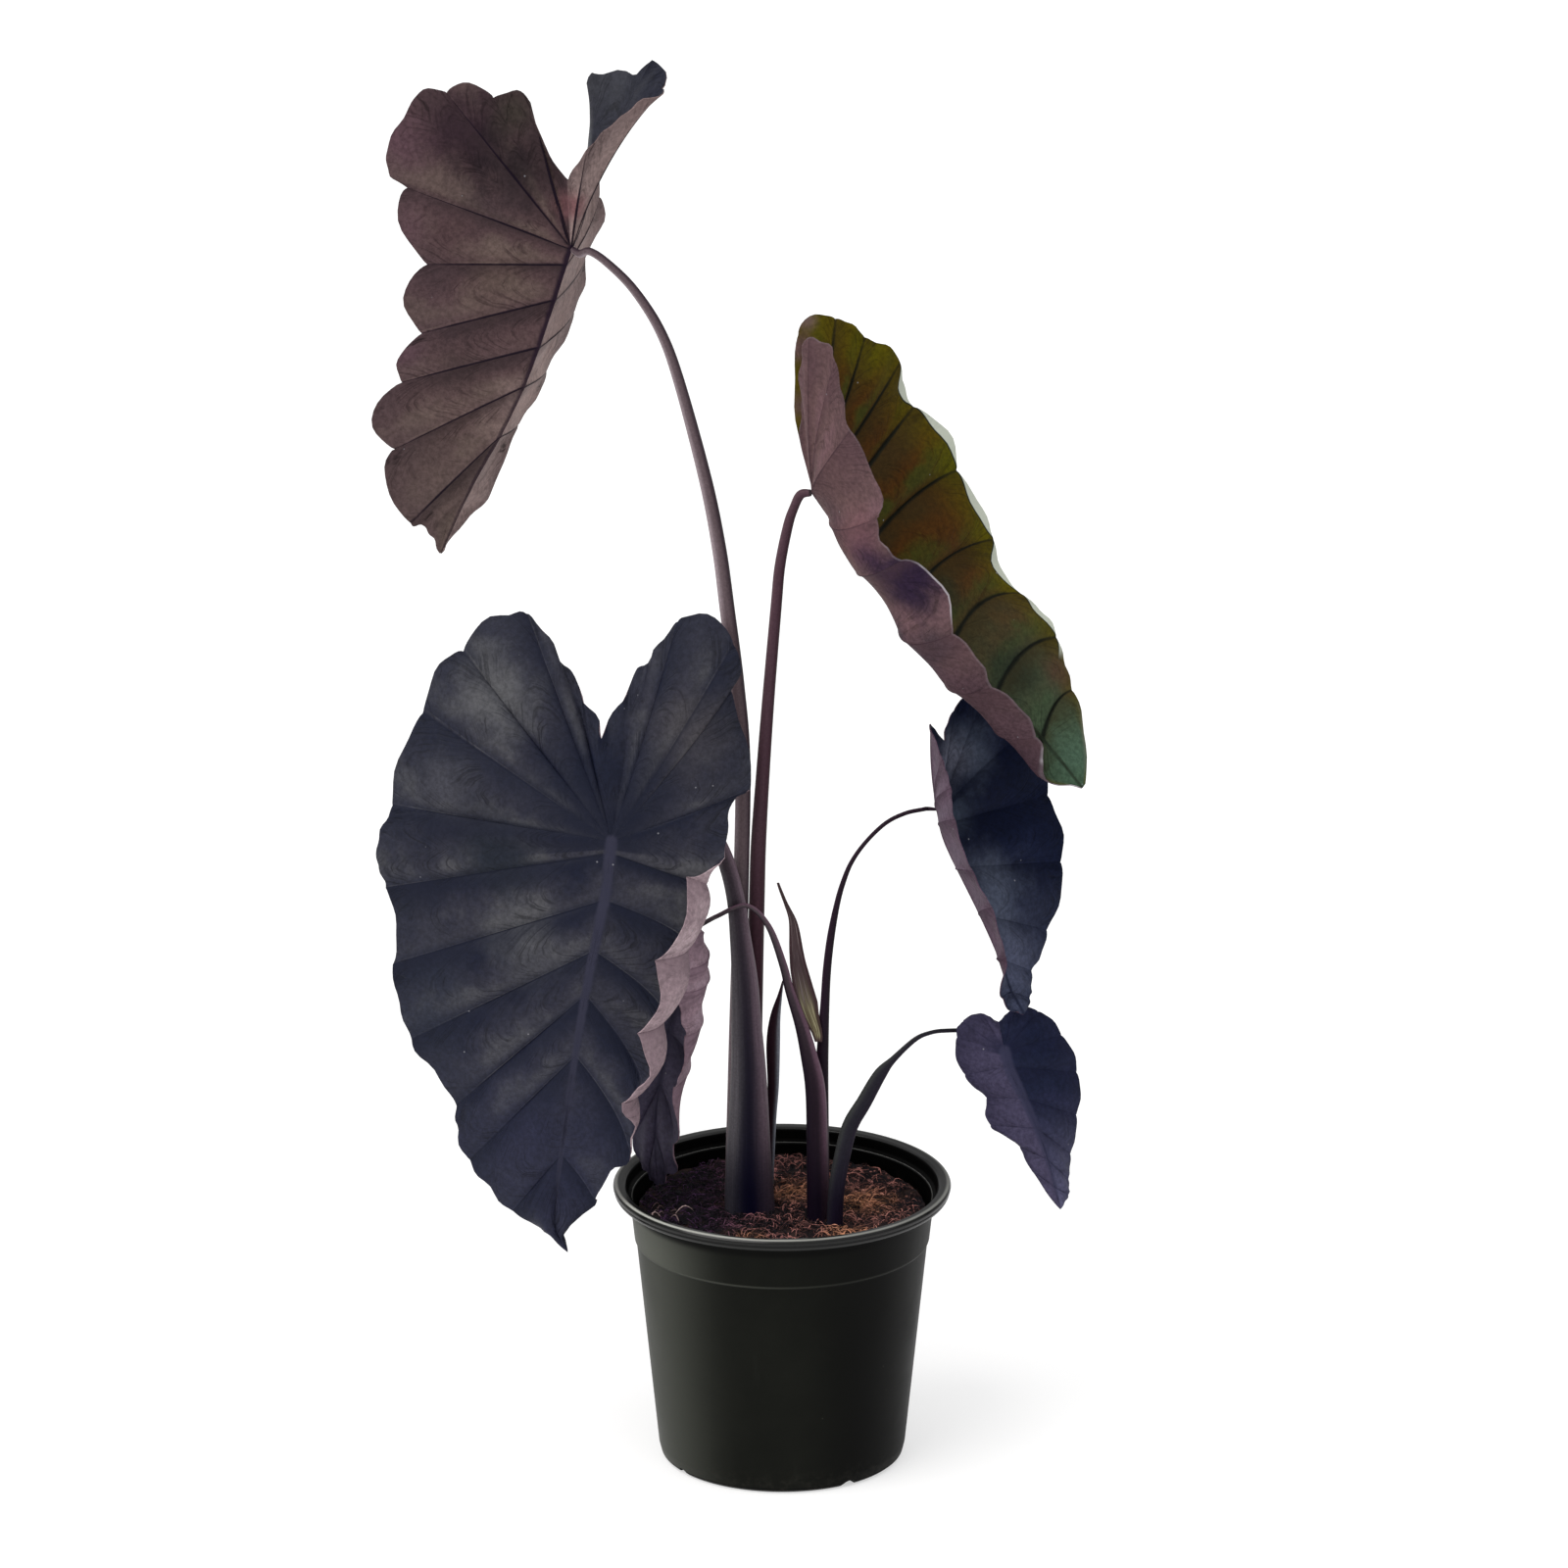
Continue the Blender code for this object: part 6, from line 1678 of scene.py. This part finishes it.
def pot_finish():
    """Black-green moulded plastic: painted sheen at the left and painted shade at the right and
    under the lip, a glossier lip with painted highlights, scuffs and dust.
    """
    skin = Finish("moulded pot plastic with painted sheen")
    place = skin.place()
    cloud = skin.use(MOTTLE, Scale=22.0, Contrast=1.3)
    x, y, z = (skin.parts(place)[axis] for axis in "XYZ")
    radius = skin.math("SQRT", skin.plus(skin.times(x, x), skin.times(y, y)))
    sideways = skin.over(x, skin.math("MAXIMUM", radius, 1 * MM))
    clear_of_lip_shadow = skin.step(z, LIP_BOTTOM - 3 * MM, LIP_BOTTOM - 7 * MM)
    skin.colour = skin.mix(skin.step(cloud["Cloud"], 0.2, 0.8), (0.0026, 0.0029, 0.0021),
                           (0.0042, 0.0045, 0.0034))
    # Painted shade: the wall darker towards the right and lighter towards the left
    skin.shade(skin.step(sideways, 0.0, 0.7, 1.6, 0.3))
    # Painted shadow under the lip
    skin.shade(skin.step(clear_of_lip_shadow, 0.0, 1.0, 0.35, 1.0))

    # Painted sheen on the left side of the wall, stronger above the step, and a painted highlight
    # along the step, strongest at the left
    painted_sheen = skin.math("POWER", skin.step(sideways, -0.25, -0.95), 1.6)
    outside = skin.step(radius, 60 * MM, 61.5 * MM)
    in_band = skin.step(z, BAND_BOTTOM - 0.5 * MM, BAND_BOTTOM + 0.5 * MM, 0.5, 1.0)
    skin.lay(skin.times(painted_sheen, outside, clear_of_lip_shadow, in_band), (0.074, 0.078, 0.065))
    off_step = skin.math("ABSOLUTE", skin.minus(z, BAND_BOTTOM))
    line = skin.times(skin.fade(off_step, 0.3 * MM, 0.9 * MM),
                      skin.step(sideways, 0.5, -0.6, 0.3, 1.0), 0.6)
    skin.lay(line, (0.055, 0.058, 0.048))

    # Painted highlight along the top of the lip, strongest at the left and front, and a painted
    # highlight on the edge of the inner ledge
    lip_highlight = skin.times(skin.step(z, POT_HEIGHT - 0.7 * MM, POT_HEIGHT - 0.2 * MM),
                      skin.step(radius, RIM_RADIUS - 3.0 * MM, RIM_RADIUS - 1.6 * MM),
                      skin.step(sideways, 0.9, -0.9, 0.4, 1.0),
                      skin.step(y, 40 * MM, -20 * MM, 0.3, 1.0), 0.9)
    skin.lay(lip_highlight, (0.42, 0.425, 0.39))
    # Painted highlight on the edge of the inner ledge
    off_ledge = skin.minus(skin.minus(radius, BAND_RADIUS - POT_WALL), 0.9 * MM)
    ledge = skin.times(skin.fade(skin.math("ABSOLUTE", off_ledge), 0.15 * MM, 0.55 * MM),
                       skin.step(z, LIP_BOTTOM - 1 * MM, LIP_BOTTOM), 0.85)
    skin.lay(ledge, (0.30, 0.305, 0.28))

    # Scuffs, and dust low on the wall and in single grains
    scuffs = skin.step(skin.noise(place, 60.0, 5.0, 0.7, (1.0, 1.0, 0.18)), 0.62, 0.8)
    skin.lay(skin.times(scuffs, 0.2), (0.02, 0.021, 0.018))
    low = skin.fade(z, 2 * MM, 16 * MM)
    skin.lay(skin.times(low, skin.step(cloud["Speck"], 0.4, 0.8), 0.25), (0.04, 0.037, 0.03))
    skin.lay(skin.times(cloud["Dust"], 0.3), (0.10, 0.09, 0.075))
    skin.feed(skin.shader.inputs["Coat Weight"],
              skin.step(z, LIP_BOTTOM - 1 * MM, LIP_BOTTOM + 1 * MM, 0.0, 0.45))
    skin.shader.inputs["Coat Roughness"].default_value = 0.16
    skin.bump(skin.noise(place, PLASTIC_GRAIN, 2.0, 0.6), 0.06 * MM, 0.45)
    return skin.done(skin.step(cloud["Cloud"], 0.2, 0.8, 0.42, 0.52), 0.05)


def soil_finish():
    """Dark moist potting mix under the crumbs."""
    skin = Finish("potting mix")
    cloud = skin.use(MOTTLE, Scale=70.0, Contrast=2.2)
    skin.colour = skin.mix(skin.step(cloud["Cloud"], 0.25, 0.75), (0.005, 0.0035, 0.006),
                           (0.030, 0.016, 0.014))
    skin.lay(skin.step(cloud["Speck"], 0.6, 0.75), (0.085, 0.042, 0.028))
    skin.bump(cloud["Speck"], 1.2 * MM, 0.9)
    return skin.done(skin.step(cloud["Speck"], 0.3, 0.7, 0.8, 0.98), 0.15)


def crumb_finish(name, dark, light, patch, purple=0.95):
    """Bark, coir or rootlet, each piece of its own tone: purplish at the left, warmer at right."""
    skin = Finish(name)
    shade = skin.carried("shade")
    cloud = skin.use(MOTTLE, Scale=60.0, Contrast=2.4)
    place = skin.place()
    tone = skin.plus(skin.math("POWER", shade, 3.4), skin.swing(cloud["Cloud"], 0.6))
    skin.colour = skin.mix(skin.step(tone, 0.0, 1.0), dark, light)
    left = skin.step(skin.parts(place)["X"], -45 * MM, 15 * MM, purple, 0.0)
    skin.lay(left, skin.mix(1.0, skin.colour, (0.12, 0.12, 0.50), blend="MULTIPLY"))
    for x, y, size, amount in WARM_SPOTS:
        warm = skin.use(SPOT, Centre=(x * MM, y * MM, SOIL_LEVEL), Size=size * MM)
        skin.lay(skin.times(warm["Mask"], skin.step(shade, 0.2, 0.9, 0.05, amount)), patch)
    skin.shade(skin.step(skin.noise(place, 900.0), 0.3, 0.7, 0.7, 1.3))
    skin.bump(cloud["Speck"], 0.25 * MM, 0.8)
    return skin.done(skin.step(shade, 0.0, 1.0, 0.7, 0.92), 0.2)


# Light, floor and camera


def make_floor():
    """Plain pale floor with a faint glow, so that shadows on it stay light."""
    skin = Finish("pale floor")
    for name, value in (("Base Color", (0.5, 0.5, 0.5, 1.0)), ("Roughness", 0.9),
                        ("Specular IOR Level", 0.1), ("Emission Strength", 0.52)):
        skin.shader.inputs[name].default_value = value
    points = [(-FLOOR_REACH, -FLOOR_REACH, 0.0), (FLOOR_REACH, -FLOOR_REACH, 0.0),
              (FLOOR_REACH, FLOOR_REACH, 0.0), (-FLOOR_REACH, FLOOR_REACH, 0.0)]
    floor = add_mesh("floor", points, [(0, 1, 2, 3)], [skin.made])
    floor.location.z = -0.2 * MM


def make_sun(name, strength, spread, azimuth, elevation, colour):
    """Broad soft studio light from a direction, given in degrees from the front and level."""
    lamp = bpy.data.lights.new(name, "SUN")
    lamp.energy = strength
    lamp.angle = math.radians(spread)
    lamp.color = colour
    turn = math.radians(azimuth)
    rise = math.radians(elevation)
    away = Vector((math.sin(turn) * math.cos(rise), -math.cos(turn) * math.cos(rise),
                   math.sin(rise)))
    item = add_item(name, lamp)
    item.rotation_euler = away.to_track_quat("Z", "Y").to_euler()
    item.location = away * 3.0


def make_light():
    """Soft studio light: a broad key from the upper left, a fill, and a pale room."""
    make_sun("key", 1.9, 50.0, -50.0, 48.0, (1.0, 0.98, 0.96))
    make_sun("fill", 0.35, 90.0, 40.0, 40.0, (0.96, 0.97, 1.0))
    make_sun("top", 1.3, 120.0, 0.0, 88.0, (1.0, 1.0, 1.0))
    world = bpy.data.worlds.new("pale room")
    world.use_nodes = True
    background = world.node_tree.nodes["Background"]
    background.inputs["Color"].default_value = (1.0, 1.0, 1.0, 1.0)
    background.inputs["Strength"].default_value = 0.42
    bpy.context.scene.world = world


def make_camera():
    """Long lens at the picture's angle, framed so that one unit of the picture is 0.5 mm."""
    lens = bpy.data.cameras.new("camera")
    lens.sensor_width = SENSOR_WIDTH
    lens.sensor_fit = "HORIZONTAL"
    lens.lens = SENSOR_WIDTH * CAMERA_DISTANCE / PICTURE_WIDTH
    lens.clip_end = 100.0
    item = add_item("camera", lens)
    middle = Vector((PICTURE_MIDDLE[0], 0.0, PICTURE_MIDDLE[1] / math.cos(VIEW_RISE)))
    away = Vector((0.0, -math.cos(VIEW_RISE), math.sin(VIEW_RISE)))
    item.location = middle + away * CAMERA_DISTANCE
    item.rotation_euler = (math.pi / 2 - VIEW_RISE, 0.0, 0.0)
    bpy.context.scene.camera = item


def main():
    """Dress the whole frame."""
    bpy.context.scene.view_settings.view_transform = "Standard"
    make_camera()
    make_light()
    make_floor()

    for key, leaf in LEAVES.items():
        blade = Blade(key, leaf)
        make_blade(key, blade, leaf_finish(key, 0, blade), leaf_finish(key, 1, blade))
        make_stalk(key, blade.seat(), stalk_finish(f"stalk {key} skin", STALK_TONES[key]))
    make_dark_sheath(stalk_finish("maroon sheath skin", SHEATH_TONES, 0.55))
    make_dry_sheath(papery_finish())

    make_pot(pot_finish(), shaded_inner_pot_finish())
    mix = soil_finish()
    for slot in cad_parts["soil"].material_slots:
        slot.material = mix
    make_soil_top(mix)
    bark = crumb_finish("bark and coir", (0.0045, 0.0024, 0.0050), (0.46, 0.195, 0.165),
                        (0.78, 0.36, 0.18))
    make_crumbs(bark)
    make_fibres("coir_fibres", bark, 3600, 7, (4, 13), (0.22, 0.5), 2.8)
    make_fibres("coir_by_stalks", bark, 520, 19, (5, 12), (0.25, 0.55), 4.2, round_the_stalks)
    rootlet = crumb_finish("pale rootlets", (0.14, 0.085, 0.080), (0.62, 0.44, 0.40),
                           (0.42, 0.30, 0.20), 0.2)
    make_fibres("rootlets", rootlet, 11, 12, (5, 13), (0.4, 0.8), 5.5, by_the_left_leaf)


main()
